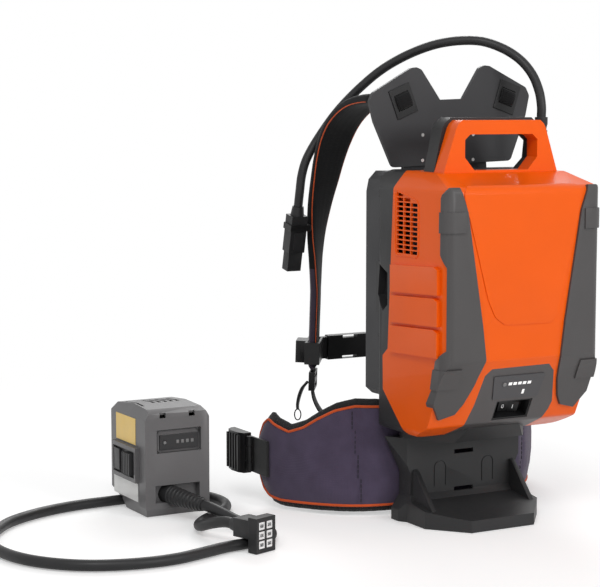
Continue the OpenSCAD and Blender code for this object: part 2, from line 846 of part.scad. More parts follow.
// ---- harness frame and yoke
frame_top = zt - 3;
frame_bottom = zb + 36;
frame_back = yb + frame_d;
frame_outline = mirrored([[hw - 18, frame_bottom], [hw - 9, frame_bottom + 8],
    [hw - 9, frame_top - 24], [hw - 12, frame_top - 10], [hw - 22, frame_top]]);
frame_hollow = mirrored([[hw - 21, frame_bottom + 5], [hw - 14, frame_bottom + 11],
    [hw - 14, frame_top - 26], [hw - 17, frame_top - 12], [hw - 25, frame_top - 5]]);
frame_bolt_r = 2.5;
tongue_y = yb + yoke_t;
belt_front = yb - 8;
belt_back = belt_front + belt_t;
web_end_y = belt_back + 10.5;   // back of the lugs for the lower webbing
web_end_z = 78;
module harness_frame() {
    color(dark)
    difference() {
        union() {
            over_y(yb, frame_back)
                difference() {
                    polygon(frame_outline);
                    polygon(frame_hollow);
                }
            over_y(yb, yb + 4) polygon(frame_outline);
            // ribs that carry the back pads
            both_sides()
                for (x = [16, 56])
                    translate([x, yb + 2, frame_bottom + 2])
                        cube([4, frame_d - 2, frame_top - frame_bottom - 4]);
            // tongue behind the yoke
            over_y(tongue_y, tongue_y + 6)
                polygon(mirrored([[60, frame_top - 10], [56, frame_top + 55]]));
            // tongue behind the hip belt
            over_y(belt_back, belt_back + 7)
                polygon(mirrored([[58, frame_bottom + 10], [52, frame_bottom - 100]]));
            // lugs for the lower webbing, on the tongue behind the hip belt
            both_sides()
                translate([50, web_end_y - 5, web_end_z]) cube([web_x - 44, 5, 6]);
        }
        both_sides() {
            for (z = frame_bolt_z)
                translate([frame_bolt_x, yb + 6, z])
                    rotate([90, 0, 0]) cylinder(r = frame_bolt_r + fit, h = 8);
            for (z = [frame_top + 12, frame_top + 42])
                translate([36, tongue_y + 8, z])
                    rotate([90, 0, 0]) cylinder(r = screw_r + fit, h = 10);
        }
    }
}
module frame_bolts() {
    color("silver")
    both_sides()
        for (z = frame_bolt_z)
            translate([frame_bolt_x, yb + 8, z])
                rotate([90, 0, 0]) {
                    cylinder(r = 4.5, h = 4);
                    cylinder(r = frame_bolt_r, h = 4 + 4 + 10);
                }
}
// the yoke hangs a little askew, as a loose harness does
yoke_x = 4;
yoke_tilt = 2;
loop_x = 74;
loop_shift = 6;
loop_z = zt + 81;
loop_a = 20;
loop_w = 26;
loop_h = 32;
yoke_outline = mirrored([[84, frame_top + 7], [86, zt + 8], [108, zt + 58], [114, zt + 82],
    [109, zt + 92], [56, zt + 119], [48, zt + 120], [41, zt + 117], [16, zt + 81]]);
module on_yoke() {
    translate([yoke_x, 0, loop_z])
        rotate([0, -yoke_tilt, 0])
            translate([0, 0, -loop_z])
                children();
}
module at_loops() {
    on_yoke()
        for (s = [-1, 1])
            translate([s * loop_x + loop_shift, yb + yoke_t, loop_z])
                rotate([90, s * loop_a, 0])
                    children();
}
module yoke_plate() {
    color(dark)
    difference() {
        on_yoke() over_y(yb, yb + yoke_t)
            offset(r = 7) offset(delta = -7) polygon(yoke_outline);
        at_loops()
            translate([-loop_w / 2, -loop_h / 2, -1]) cube([loop_w, loop_h, yoke_t + 2]);
        both_sides()
            for (z = [frame_top + 12, frame_top + 42])
                translate([36, tongue_y + 8, z])
                    rotate([90, 0, 0]) cylinder(r = screw_r + fit, h = 20);
    }
}
module yoke_bolts() {
    color("silver")
    both_sides()
        for (z = [frame_top + 12, frame_top + 42])
            translate([36, tongue_y + 8, z])
                rotate([90, 0, 0]) {
                    cylinder(r = head_r, h = 2);
                    cylinder(r = screw_r, h = 2 + 6 + yoke_t);
                }
}
module strap_loops() {
    color(black)
    at_loops()
        difference() {
            union() {
                translate([-loop_w / 2, -loop_h / 2, 0]) cube([loop_w, loop_h, yoke_t]);
                translate([-loop_w / 2 - 2, -loop_h / 2 - 2, yoke_t])
                    cube([loop_w + 4, loop_h + 4, 1.5]);
            }
            for (s = [-1, 1])
                translate([-loop_w / 2 + 3, s * (loop_h / 4 - 0.5) - 1.9, -1])
                    cube([loop_w - 6, 3.8, yoke_t + 4]);
        }
}
module back_pads() {
    color(black)
    both_sides()
        intersection() {
            translate([0, frame_back, 0])
                over_x(10, 64)
                    polygon([[0, frame_bottom + 8], [pad_t * 0.6, frame_bottom + 8],
                        [pad_t, frame_bottom + 24], [pad_t, frame_top - 24],
                        [pad_t * 0.6, frame_top - 8], [0, frame_top - 8]]);
            linear_extrude(zt + 50)
                polygon([[10, frame_back], [10, frame_back + pad_t * 0.6], [18, frame_back + pad_t],
                    [56, frame_back + pad_t], [64, frame_back + pad_t * 0.6], [64, frame_back]]);
        }
}

// ---- straps: ribbons through rows of [x, y, z, width, twist], drawn for the right side. The
// shoulder strap turns its outer edge forwards on its way down.
strap_top = yb + yoke_t;
strap_twist = 55;
strap_lean = 0.06;   // how far the lower part leans back for each unit of height
function low_y(z) = 242 - (z - 156) * strap_lean;
strap_rows = [[86, strap_top, 495, strap_w, 0], [86, 91, 495, strap_w + 2, 0],
    [86, 118, 491, strap_w + 6, 0], [86, 142, 482, strap_w + 8, 0],
    [86, 166, 467, strap_w + 8, 0], [86, 185, 446, strap_w + 6, 0],
    [86, 199, 422, strap_w + 3, 2], [86, 210, 396, strap_w + 1, 8],
    [86, 222, 365, strap_w, 20], [86, 230, 332, strap_w, 34], [85, 234, 300, strap_w, 46],
    [strap_x, low_y(256), 256, strap_w, strap_twist],
    [strap_x, low_y(206), 206, strap_w, strap_twist],
    [strap_x, low_y(strap_end), strap_end, strap_w, strap_twist]];
web_x = strap_x;
web_rows = [[strap_x, low_y(strap_end), strap_end, web_w, strap_twist],
    [strap_x, low_y(146), 146, web_w, strap_twist],
    [strap_x, low_y(136), 136, web_w, strap_twist],
    [strap_x, low_y(127), 127, web_w, strap_twist], [strap_x, 239, 117, web_w, 50],
    [strap_x, 229, 108, web_w, 42], [strap_x, 214, 101, web_w, 30], [strap_x, 194, 96, web_w, 18],
    [strap_x, 168, 94, web_w, 8], [web_x, 140, 93, web_w, 0], [web_x, 112, 93, web_w, 0],
    [web_x, 96, 92.5, web_w, 0], [web_x, 89, 90, web_w, 0],
    [web_x, web_end_y + web_t / 2, web_end_z + 7, web_w, 0],
    [web_x, web_end_y + web_t / 2, web_end_z, web_w, 0]];
function place(rows) = [for (r = rows) [r[0], r[1], r[2]]];
function ribbon_ring(rows, k, t) =
    let (d = heading(place(rows), k), x = [1, 0, 0], w0 = unit(x - (x * d) * d),
        n0 = cross(d, w0), a = rows[k][4], w = cos(a) * w0 + sin(a) * n0, n = cross(d, w),
        h = rows[k][3] / 2, c = t * 0.3)
    [for (q = [[-h, c - t / 2], [c - h, -t / 2], [h - c, -t / 2], [h, c - t / 2],
        [h, t / 2 - c], [h - c, t / 2], [c - h, t / 2], [-h, t / 2 - c]])
        place(rows)[k] + q[0] * w + q[1] * n];
module ribbon(rows, t) {
    polyhedron(
        [for (k = [0:len(rows) - 1]) each ribbon_ring(rows, k, t)],
        tube_faces(len(rows), 8));
}
module shoulder_strap_left() {
    color(black) mirror([1, 0, 0]) ribbon(strap_rows, strap_t);
}
module shoulder_strap_right() {
    color(black) ribbon(strap_rows, strap_t);
}
module lower_webbing() {
    color(black)
    both_sides() ribbon(web_rows, web_t);
}
// A frame on the straight lower part of the strap: x across it and z up along it
module on_strap(z) {
    translate([strap_x, low_y(z), z])
        rotate([atan(strap_lean), 0, 0])
            rotate([0, 0, -strap_twist])
                children();
}
module ladder_locks() {
    // a bar buckle on each lower webbing, just under the padded strap
    color(black)
    both_sides()
        on_strap(141)
            difference() {
                translate([-web_w / 2 - 4, -4, -12]) cube([web_w + 8, 8, 24]);
                translate([-web_w / 2 - run, -web_t / 2 - run, -15])
                    cube([web_w + 2 * run, web_t + 2 * run, 30]);
                for (z = [-8.5, 3.5])
                    translate([-web_w / 2 + 1, -6, z]) cube([web_w - 2, 12, 5]);
            }
}

// ---- chest strap: a sleeve on each shoulder strap, the webbing between them and its buckle
chest_z = 178;
sleeve_h = 28;
sleeve_gap = 0.5;
web_y = 14.5;        // webbing behind the strap's centre line
lug_x = 58;
buckle_x = -27;
module chest_frame() {
    translate([0, low_y(chest_z), chest_z])
        rotate([atan(strap_lean), 0, 0])
            children();
}
module across_strap() {
    translate([strap_x, 0])
        rotate(-strap_twist)
            children();
}
module strap_sleeve() {
    chest_frame()
        translate([0, 0, -sleeve_h / 2])
            linear_extrude(sleeve_h)
                difference() {
                    union() {
                        across_strap() {
                            square([strap_w + 7, strap_t + 7], center = true);
                            translate([-12, 0]) square([24, 22]);
                        }
                        translate([lug_x, web_y - 3.5]) square([14, 7]);
                    }
                    across_strap()
                        square([strap_w + 2 * sleeve_gap, strap_t + 2 * sleeve_gap],
                            center = true);
                }
}
module chest_sliders() {
    color(black) both_sides() strap_sleeve();
}
module chest_webbing() {
    color(black)
    chest_frame()
        for (x = [[-lug_x, buckle_x - 20], [buckle_x + 20, lug_x]])
            translate([x[0], web_y - web_t / 2, -web_w / 2]) cube([x[1] - x[0], web_t, web_w]);
}
module chest_buckle() {
    color(black)
    chest_frame()
        translate([buckle_x, web_y, 0])
            difference() {
                translate([-30, -5, -web_w / 2 - 3]) cube([60, 10, web_w + 6]);
                for (s = [-1, 1]) {
                    translate([s * 30 - 10, -web_t / 2, -web_w / 2]) cube([20, web_t, web_w]);
                    translate([-9, -10, s * (web_w / 2 + 1) - 1.9]) cube([22, 20, 3.8]);
                }
            }
}

// ---- hip belt
belt_half = 72;
wing_end_x = 191;
wing_end_y = belt_front + 141;
wing_line = [[belt_half - 12, belt_front], [belt_half, belt_front], [96, belt_front + 5],
    [117, belt_front + 13], [134, belt_front + 24], [148, belt_front + 37],
    [161, belt_front + 52], [172, belt_front + 68], [182, belt_front + 86],
    [wing_end_x - 2, belt_front + 104], [wing_end_x, belt_front + 116],
    [wing_end_x, wing_end_y]];
function normal_at(p, k) = let (d = heading(p, k)) [-d[1], d[0]];
function inner_line(p, t) = [for (k = [0:len(p) - 1]) p[k] + normal_at(p, k) * t];
wing_plan = concat(wing_line, [for (k = [len(wing_line) - 1:-1:0])
    inner_line(wing_line, belt_t)[k]]);
wing_side = [[belt_front - 5, 5], [belt_front - 5, 139], [belt_front + 16, 142],
    [belt_front + 32, 136], [belt_front + 48, 125], [belt_front + 64, 113],
    [belt_front + 82, 106], [belt_front + 102, 112], [belt_front + 116, 118],
    [belt_front + 130, 110], [wing_end_y + 3, 92], [wing_end_y + 8, 60],
    [wing_end_y + 3, 32], [belt_front + 132, 15], [belt_front + 114, 7],
    [belt_front + 94, 4]];
module hip_wing() {
    intersection() {
        linear_extrude(160) polygon(wing_plan);
        over_x(belt_half, 210) polygon(wing_side);
    }
}
module hip_wing_left() {
    color(purple) mirror([1, 0, 0]) hip_wing();
}
module hip_wing_right() {
    color(purple) hip_wing();
}
module hip_belt() {
    // the lumbar part, between the stand and the frame's tongue
    color(purple)
        over_y(belt_front, belt_back)
            polygon(mirrored([[belt_half, 5], [belt_half, 134], [60, 138]]));
}
hinge_y = wing_end_y + 7;
hinge_x = wing_end_x + 4;
buckle_z = 40;
buckle_h = 44;
tab_l = 36;          // of the tab, along the wing
module knuckle(z0, z1, r) {
    translate([hinge_x, hinge_y, z0]) cylinder(r = r, h = z1 - z0);
}
module belt_tab() {
    difference() {
        union() {
            translate([wing_end_x, wing_end_y - tab_l, buckle_z])
                cube([3, hinge_y - wing_end_y + tab_l, buckle_h]);
            knuckle(buckle_z, buckle_z + 12, 4);
            knuckle(buckle_z + buckle_h - 12, buckle_z + buckle_h, 4);
        }
        knuckle(buckle_z - 1, buckle_z + buckle_h + 1, 1.5);
        translate([hinge_x - 6, hinge_y - 5, buckle_z + 12]) cube([20, 20, buckle_h - 24]);
    }
    knuckle(buckle_z, buckle_z + buckle_h, 1.5);
}
module belt_tabs() {
    color(black) both_sides() belt_tab();
}
module belt_buckle() {
    difference() {
        union() {
            knuckle(buckle_z + 12 + run, buckle_z + buckle_h - 12 - run, 4);
            translate([hinge_x - 4, hinge_y, buckle_z + 12 + run])
                cube([8, 8, buckle_h - 24 - 2 * run]);
            translate([0, 0, buckle_z - 3])
                linear_extrude(buckle_h + 6)
                    polygon([[hinge_x - 5, hinge_y + 5.5], [hinge_x + 5, hinge_y + 5.5],
                        [hinge_x + 9, hinge_y + 14], [hinge_x + 10, hinge_y + 30],
                        [hinge_x + 7, hinge_y + 44], [hinge_x, hinge_y + 50],
                        [hinge_x - 5, hinge_y + 50]]);
            for (k = [0:4])
                translate([hinge_x + 6.5, hinge_y + 11 + 7 * k, buckle_z])
                    cube([4.5, 3, buckle_h]);
        }
        knuckle(buckle_z - 5, buckle_z + buckle_h + 5, 1.5 + fit);
        translate([hinge_x - 1.5, hinge_y + 12, buckle_z + 6]) cube([3, 50, buckle_h - 12]);
    }
}
module belt_buckle_left() {
    color(black) mirror([1, 0, 0]) belt_buckle();
}
module belt_buckle_right() {
    color(black) belt_buckle();
}

// ---- adapter: its own frame has its origin under the middle of the front face
adapter_x = -300;
adapter_y = 188;
aw = adapter_w / 2;
module at_adapter() {
    translate([adapter_x, adapter_y, 0]) children();
}
function adapter_side(i) = [[8, i], [i, 10 + i], [i, adapter_h - 7 - i], [10, adapter_h - 2 - i],
    [50, adapter_h - i], [adapter_d - 8 - i, adapter_h - 4 - i], [adapter_d - i, adapter_h - 13 - i],
    [adapter_d - i, 22 + i], [78, 14.5 + i], [69 - i, 14.5 + i], [69 - i, i]];
function adapter_front_outline(i) = mirrored([[aw - 5 - i, i], [aw - i, 12 + i],
    [aw - i, adapter_h - 14 - i], [aw - 8 - i, adapter_h - i]]);
adapter_split = 18;
terminal_x = -12;    // first of the five terminals
latch_z = 45;
adapter_screw_z = [34, adapter_h - 22];
latch_h = 32;
latch_shoulder = 5.5;
latch_y0 = 22;
latch_y1 = 84;
module adapter_form(i) {
    intersection() {
        over_x(-aw - 5, aw + 5) polygon(adapter_side(i));
        over_y(-5, adapter_d + 5) polygon(adapter_front_outline(i));
    }
}
module adapter_shell(y0, y1) {
    intersection() {
        difference() {
            adapter_form(0);
            adapter_form(adapter_wall);
        }
        translate([-aw - 10, y0, -5]) cube([adapter_w + 20, y1 - y0, adapter_h + 10]);
    }
}
module adapter_body() {
    color(grey)
    at_adapter()
        difference() {
            union() {
                adapter_shell(adapter_split, adapter_d + 5);
                // raised shoulder round each latch
                both_sides()
                    translate([aw - 1, adapter_split, latch_z - 5])
                        cube([latch_shoulder + 1, latch_y1 + 4 - adapter_split, latch_h + 10]);
                // guides for the two latches
                both_sides()
                    translate([aw - 16, latch_y0 - 3, latch_z - 3])
                        cube([16 - adapter_wall / 2, latch_y1 - latch_y0 + 6, latch_h + 6]);
                // block that guides the tool's blades to the terminals
                translate([terminal_x - 5, 40, adapter_h - 28.4]) cube([44, 40, 26]);
                // screw tubes
                both_sides()
                    for (z = adapter_screw_z)
                        translate([aw - 9, adapter_d - adapter_wall / 2, z])
                            rotate([90, 0, 0])
                                cylinder(r = 4, h = adapter_d - adapter_wall / 2 - adapter_split);
            }
            both_sides() {
                translate([aw - 13, latch_y0, latch_z])
                    cube([15 + latch_shoulder, latch_y1 - latch_y0, latch_h]);
                for (z = adapter_screw_z)
                    translate([aw - 9, adapter_d + 1, z])
                        rotate([90, 0, 0]) {
                            cylinder(r = 1.5 + fit, h = adapter_d);
                            cylinder(r = 3, h = 4);
                        }
            }
            // slot along the top, for the tool's rail
            translate([-aw + 10, 30, adapter_h - 5]) cube([3, 55, 10]);
            // slots over the terminals, in the top
            for (k = [0:4])
                translate([terminal_x + 8 * k - 1, 43, adapter_h - 40]) cube([4, 34, 50]);
        }
}
module adapter_front() {
    color(grey)
    at_adapter()
        difference() {
            union() {
                adapter_shell(-5, adapter_split);
                both_sides()
                    for (z = adapter_screw_z)
                        translate([aw - 9, adapter_split, z])
                            rotate([90, 0, 0]) cylinder(r = 4, h = adapter_split - adapter_wall / 2);
                // display recess and lead recess, as closed tubs
                translate([-aw + 12, 1, 74]) cube([adapter_w - 20, 8, 34]);
                translate([-32, 1, 14]) cube([64, 12, 27]);
            }
            translate([-aw + 15, -1, 77]) cube([adapter_w - 26, 5.5, 28]);
            translate([-29, -1, 17]) cube([58, 10, 21]);
            both_sides() {
                translate([15, -1, adapter_h - 12]) cube([8, 5, 6]);
                for (z = adapter_screw_z)
                    translate([aw - 9, adapter_split + 1, z])
                        rotate([90, 0, 0]) cylinder(r = 1.5 + fit, h = 12);
            }
            translate([display_x - 19.5, 2, button_z])
                rotate([-90, 0, 0]) cylinder(r = 2 + run, h = 20);
            relief_hole();
        }
}
display_x = 4;
button_z = 89;       // middle of the display
module adapter_display() {
    color(dark)
    at_adapter()
        difference() {
            translate([display_x - 26, 3, button_z - 9]) cube([50, 1.5, 18]);
            translate([display_x - 19.5, 2, button_z])
                rotate([-90, 0, 0]) cylinder(r = 2 + run, h = 20);
        }
}
module adapter_button() {
    color(black)
    at_adapter()
        translate([display_x - 19.5, 2, button_z])
            rotate([-90, 0, 0]) {
                cylinder(r = 2, h = 9);
                translate([0, 0, 7 + run]) cylinder(r = 3, h = 1.5);
            }
}
module adapter_latch() {
    // an inward-pressed button with a thumb step
    difference() {
        union() {
            translate([aw - 8.5, latch_y0 + run, latch_z + run])
                cube([10.5, latch_y1 - latch_y0 - 2 * run, latch_h - 2 * run]);
            translate([aw - 1, latch_y0 + 4, latch_z + 3])
                cube([11, 22, latch_h - 6]);
            translate([aw - 1, latch_y1 - 20, latch_z + 3]) cube([7, 16, latch_h - 6]);
        }
        for (k = [0:3])
            translate([aw + 9, latch_y0 + 7 + 5 * k, latch_z]) cube([2, 2, latch_h]);
    }
}
module adapter_latch_left() {
    color(dark) at_adapter() mirror([1, 0, 0]) adapter_latch();
}
module adapter_latch_right() {
    color(dark) at_adapter() adapter_latch();
}
module adapter_board() {
    color("darkgreen")
    at_adapter()
        translate([terminal_x - 5, 40, adapter_h - 30]) cube([44, 40, 1.6]);
}
module adapter_terminals() {
    color("goldenrod")
    at_adapter()
        for (k = [0:4])
            translate([terminal_x + 8 * k, 44, adapter_h - 28.4]) cube([2, 32, 20]);
}
module adapter_screws() {
    color("silver")
    at_adapter()
        both_sides()
            for (z = adapter_screw_z)
                translate([aw - 9, adapter_d - 0.5, z])
                    rotate([90, 0, 0]) {
                        cylinder(r = 2.9, h = 2.5);
                        cylinder(r = 1.5, h = adapter_d - adapter_split + 8);
                    }
}
module adapter_labels() {
    // two bare stickers on the left side
    at_adapter() {
        color([0.94, 0.79, 0.36])
            translate([-aw - 0.4, 28, 84]) cube([0.4, 58, 32]);
        color("white")
            translate([-aw - 0.4, 22, 16]) cube([0.4, 72, 22]);
    }
}
relief_l = 58;
relief_r = 11.5;     // its end in the adapter
relief_dir = adapter_points[0] - adapter_points[1];
module relief_hole() {
    translate([-adapter_x, -adapter_y, 0])
        aim(adapter_points[0], relief_dir)
            cylinder(r = relief_r + fit, h = relief_l + 12);
}
module adapter_relief() {
    color(black)
    aim(adapter_points[0], relief_dir)
        rotate_extrude()
            polygon(concat([[0, 0], [7.2, 0]],
                [for (k = [0:8], q = [0, 1, 2, 3])
                    [7.4 + 0.36 * k + [0, 1.1, 1.1, 0][q], 4 + 5.6 * k + [0, 0.6, 3.2, 3.8][q]]],
                [[relief_r, 54], [relief_r, relief_l + 8], [0, relief_l + 8]]));
}
module adapter_lead() {
    color(black) tube(adapter_points, adapter_lead_d / 2, [0, 0, 1], 8);
}
plug_end = adapter_points[len(adapter_points) - 1];
plug_dir = [16, -48, 0];
plug_l = norm(plug_dir);
module at_plug() {
    // y runs from the cable end to the contact face, z up from the ground
    translate([plug_end[0], plug_end[1], 0])
        rotate([0, 0, atan2(plug_dir[1], plug_dir[0]) - 90])
            children();
}
module plug_body() {
    color(black)
    at_plug()
        difference() {
            union() {
                translate([0, 14, 24]) rotate([90, 0, 0]) cylinder(r1 = 10, r2 = 7.2, h = 14);
                translate([-12.5, 12, 14]) cube([25, plug_l - 22, 21]);
                translate([-15, plug_l - 13, 0]) cube([30, 13, 39.5]);
            }
            for (c = [0, 1], r = [0:2])
                translate([-11 + 12 * c, plug_l - 9, 5 + 10.5 * r]) cube([9.5, 12, 8.5]);
        }
}
module plug_contacts() {
    color("silver")
    at_plug()
        for (c = [0, 1], r = [0:2])
            translate([-11 + 12 * c, plug_l - 9, 5 + 10.5 * r])
                difference() {
                    cube([9.5, 8.2, 8.5]);
                    translate([2, 1.5, 2.35]) cube([5.5, 9, 3.8]);
                }
}

front_shell();
rear_shell();
corner_bumper_left();
corner_bumper_right();
handle_front();
handle_rear();
console();
status_panel();
status_leds();
status_button();
status_board();
switch_well();
power_rocker();
cells();
cell_holder_front();
cell_holder_rear();
busbars();
control_board();
pack_bolts();
shell_screws();
cable_gland();
output_lead();
lead_connector();
lead_clip();
stand();
stand_screws();
harness_frame();
frame_bolts();
yoke_plate();
yoke_bolts();
strap_loops();
back_pads();
shoulder_strap_left();
shoulder_strap_right();
lower_webbing();
ladder_locks();
chest_sliders();
chest_webbing();
chest_buckle();
hip_belt();
hip_wing_left();
hip_wing_right();
belt_tabs();
belt_buckle_left();
belt_buckle_right();
adapter_body();
adapter_front();
adapter_display();
adapter_button();
adapter_latch_left();
adapter_latch_right();
adapter_board();
adapter_terminals();
adapter_screws();
adapter_labels();
adapter_relief();
adapter_lead();
plug_body();
plug_contacts();
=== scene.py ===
# %% [markdown]
# # A battery worn on the back, with its harness and its adapter
# The CAD model already gives every rigid piece its size and place. This lesson dresses it: the
# hard shells get softened edges and moulded finishes, and the belt, straps, pads and leads are
# made again as the soft things they are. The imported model's box is kept first, so that the
# dressed object can be compared with it at the end.

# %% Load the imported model
import json
import math
import bmesh
import bpy
import numpy as np
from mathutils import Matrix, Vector

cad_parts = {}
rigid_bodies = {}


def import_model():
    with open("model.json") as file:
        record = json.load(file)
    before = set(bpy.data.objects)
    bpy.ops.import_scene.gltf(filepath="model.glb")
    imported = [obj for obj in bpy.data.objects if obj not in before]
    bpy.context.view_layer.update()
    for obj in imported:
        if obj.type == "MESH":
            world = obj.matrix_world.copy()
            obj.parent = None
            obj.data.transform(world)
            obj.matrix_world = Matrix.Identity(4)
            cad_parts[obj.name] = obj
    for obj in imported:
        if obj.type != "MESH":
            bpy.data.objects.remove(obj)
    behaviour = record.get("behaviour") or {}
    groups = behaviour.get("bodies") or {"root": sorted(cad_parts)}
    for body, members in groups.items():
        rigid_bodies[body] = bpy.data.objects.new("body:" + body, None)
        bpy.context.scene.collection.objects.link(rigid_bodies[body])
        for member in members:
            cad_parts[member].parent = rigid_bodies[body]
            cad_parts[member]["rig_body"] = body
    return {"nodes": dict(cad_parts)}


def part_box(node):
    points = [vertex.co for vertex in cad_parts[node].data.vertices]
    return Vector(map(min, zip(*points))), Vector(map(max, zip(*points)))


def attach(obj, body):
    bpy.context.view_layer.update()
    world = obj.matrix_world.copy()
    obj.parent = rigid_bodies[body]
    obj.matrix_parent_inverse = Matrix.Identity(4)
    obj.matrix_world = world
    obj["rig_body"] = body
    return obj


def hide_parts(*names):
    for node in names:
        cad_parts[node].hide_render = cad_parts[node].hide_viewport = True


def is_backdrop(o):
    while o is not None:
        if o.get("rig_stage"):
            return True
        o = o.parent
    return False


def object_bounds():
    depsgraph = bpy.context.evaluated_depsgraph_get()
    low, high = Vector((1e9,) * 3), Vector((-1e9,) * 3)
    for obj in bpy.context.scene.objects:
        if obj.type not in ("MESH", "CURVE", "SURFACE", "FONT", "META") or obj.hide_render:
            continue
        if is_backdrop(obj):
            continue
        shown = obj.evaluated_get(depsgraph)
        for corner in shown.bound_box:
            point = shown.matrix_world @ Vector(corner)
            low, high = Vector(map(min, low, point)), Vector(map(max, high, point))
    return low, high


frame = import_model()
cad_low, cad_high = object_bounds()
scene = bpy.context.scene
print("nodes:", len(frame["nodes"]), "box:", [round(c, 3) for c in (*cad_low, *cad_high)])

# %% [markdown]
# ## The camera
# A camera is a lens and a place. A long lens from about two metres away keeps the upright edges
# nearly parallel, as a catalogue picture does. It stands to the left of the battery and looks
# down a little, so the front, the left side and a strip of floor are all in view.

# %% Place the camera
lens = bpy.data.cameras.new("catalogue_lens")
lens.lens, lens.sensor_width, lens.clip_end = 105.6, 36, 40
camera = bpy.data.objects.new("catalogue_camera", lens)
scene.collection.objects.link(camera)
camera.location = (-1.1745, -1.6906, 0.484)
camera.rotation_euler = (math.radians(84), 0, math.radians(-29))
scene.camera = camera
scene.view_settings.view_transform = "Standard"
print("camera at", tuple(round(c, 2) for c in camera.location))

# %% [markdown]
# ## Nodes
# Light and finishes are trees of nodes: each does one small thing, and a link carries its result
# on. One helper makes a node and links what goes into it. The other finds the rays that are
# looked at: straight from the camera, in a reflection or through something clear.

# %% Write the node helpers
def add_node(tree, kind, inputs=None, **settings):
    """A node of this kind, with settings, and inputs as values or outputs to link"""
    made = tree.nodes.new("ShaderNode" + kind)
    for name, value in settings.items():
        setattr(made, name, value)
    for name, value in (inputs or {}).items():
        if isinstance(value, bpy.types.NodeSocket):
            tree.links.new(value, made.inputs[name])
        else:
            made.inputs[name].default_value = value
    return made


def seen_rays(tree):
    """1 where a ray is one that is looked at, and 0 where it only carries light"""
    path = add_node(tree, "LightPath")
    total = path.outputs["Is Camera Ray"]
    for name in ("Is Glossy Ray", "Is Transmission Ray"):
        larger = add_node(tree, "Math", {0: total, 1: path.outputs[name]}, operation="MAXIMUM")
        total = larger.outputs[0]
    return total


print("node helpers ready")

# %% [markdown]
# ## The world
# The world is what surrounds the object. It looks white to the camera and in reflections, but
# lights the object only gently, so that the colours come out as they are written. A mix of two
# backgrounds does that, with the looked-at rays as its switch.

# %% Make the white world
world = bpy.data.worlds.new("pale_studio")
scene.world = world
world.use_nodes = True
sky = world.node_tree
sky.nodes.clear()
white, gentle, full = (1, 1, 1, 1), 0.45, 1
glow = add_node(sky, "Background", {"Color": white, "Strength": gentle})
bright = add_node(sky, "Background", {"Color": white, "Strength": full})
pick = add_node(sky, "MixShader", {0: seen_rays(sky), 1: glow.outputs[0], 2: bright.outputs[0]})
add_node(sky, "OutputWorld", {"Surface": pick.outputs[0]})
print("world nodes:", len(sky.nodes))

# %% [markdown]
# ## Lamps
# Large lamps make soft shadows and long soft highlights, which is what shows the shape of a
# glossy shell. One stands to the left, above the camera, one in front to the right, and one
# behind, which parts the dark straps from the white.

# %% Light the studio
def softbox(name, place, target, size, power):
    """A square lamp at place that faces target"""
    data = bpy.data.lights.new(name, "AREA")
    data.size, data.energy = size, power
    lamp = bpy.data.objects.new(name, data)
    lamp.location = place
    lamp.rotation_euler = (Vector(target) - Vector(place)).to_track_quat("-Z", "Y").to_euler()
    scene.collection.objects.link(lamp)


middle = (-0.1, 0.05, 0.28)
softbox("key_light", (-1.5, -1.7, 2.3), middle, 1.2, 30)
softbox("front_light", (0.7, -2.6, 1.2), middle, 1.0, 27)
softbox("back_light", (0.9, 1.8, 1.8), middle, 1.2, 22)

# %% [markdown]
# ## The floor
# One wide sheet is enough for a floor. A little of its brightness is given only to the rays that
# the camera sees, and further out the sheet fades to plain white for those rays. It then meets
# the white of the world without a seam, and still shows the object's shadow.

# %% Lay the floor
floor_half, floor_drop = 14, 0.0006
sheet = bmesh.new()
bmesh.ops.create_grid(sheet, x_segments=2, y_segments=2, size=floor_half)
bmesh.ops.translate(sheet, verts=sheet.verts, vec=(0, 0, -floor_drop))
floor_mesh = bpy.data.meshes.new("floor")
sheet.to_mesh(floor_mesh)
sheet.free()
floor = bpy.data.objects.new("floor", floor_mesh)
scene.collection.objects.link(floor)
floor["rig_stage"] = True

fade_start, fade_end, lift_share = 0.45, 1.3, 0.3
paper = bpy.data.materials.new("white_paper")
paper.use_nodes = True
tree = paper.node_tree
tree.nodes.clear()
looked_at = seen_rays(tree)
share = add_node(tree, "Math", {0: looked_at, 1: lift_share}, operation="MULTIPLY")
matt = add_node(tree, "BsdfDiffuse", {"Color": (0.84, 0.84, 0.84, 1)})
lift = add_node(tree, "Emission", {"Strength": share.outputs[0]})
near = add_node(tree, "AddShader", {0: matt.outputs[0], 1: lift.outputs[0]})
here = add_node(tree, "TexCoord").outputs["Object"]
away = add_node(tree, "VectorMath", {0: here}, operation="LENGTH").outputs["Value"]
far = add_node(tree, "MapRange", {"Value": away, "From Min": fade_start, "From Max": fade_end},
               interpolation_type="SMOOTHSTEP")
fade = add_node(tree, "Math", {0: far.outputs["Result"], 1: looked_at}, operation="MULTIPLY")
plain = add_node(tree, "Emission")
paper_mix = add_node(tree, "MixShader",
                     {0: fade.outputs[0], 1: near.outputs[0], 2: plain.outputs[0]})
add_node(tree, "OutputMaterial", {"Surface": paper_mix.outputs[0]})
floor_mesh.materials.append(paper)
print("floor", [round(c, 1) for c in floor.dimensions])

# %% [markdown]
# ## What a finish is made of
# A surface is more than its colour. Each finish below is one shader with a cloud of darker and
# lighter colour, a cloud of duller and shinier places, and a relief in its bump. The clouds read
# the place on the object, so they have the same size on every piece. A class holds the shader
# and gives each pattern a short call.

# %% Write the finish class
def paint(red, green, blue):
    """A colour given as 0 to 255 in each channel, as light"""
    levels = [c / 255 for c in (red, green, blue)]
    return tuple(c / 12.92 if c < 0.04 else ((c + 0.055) / 1.055) ** 2.4 for c in levels) + (1,)


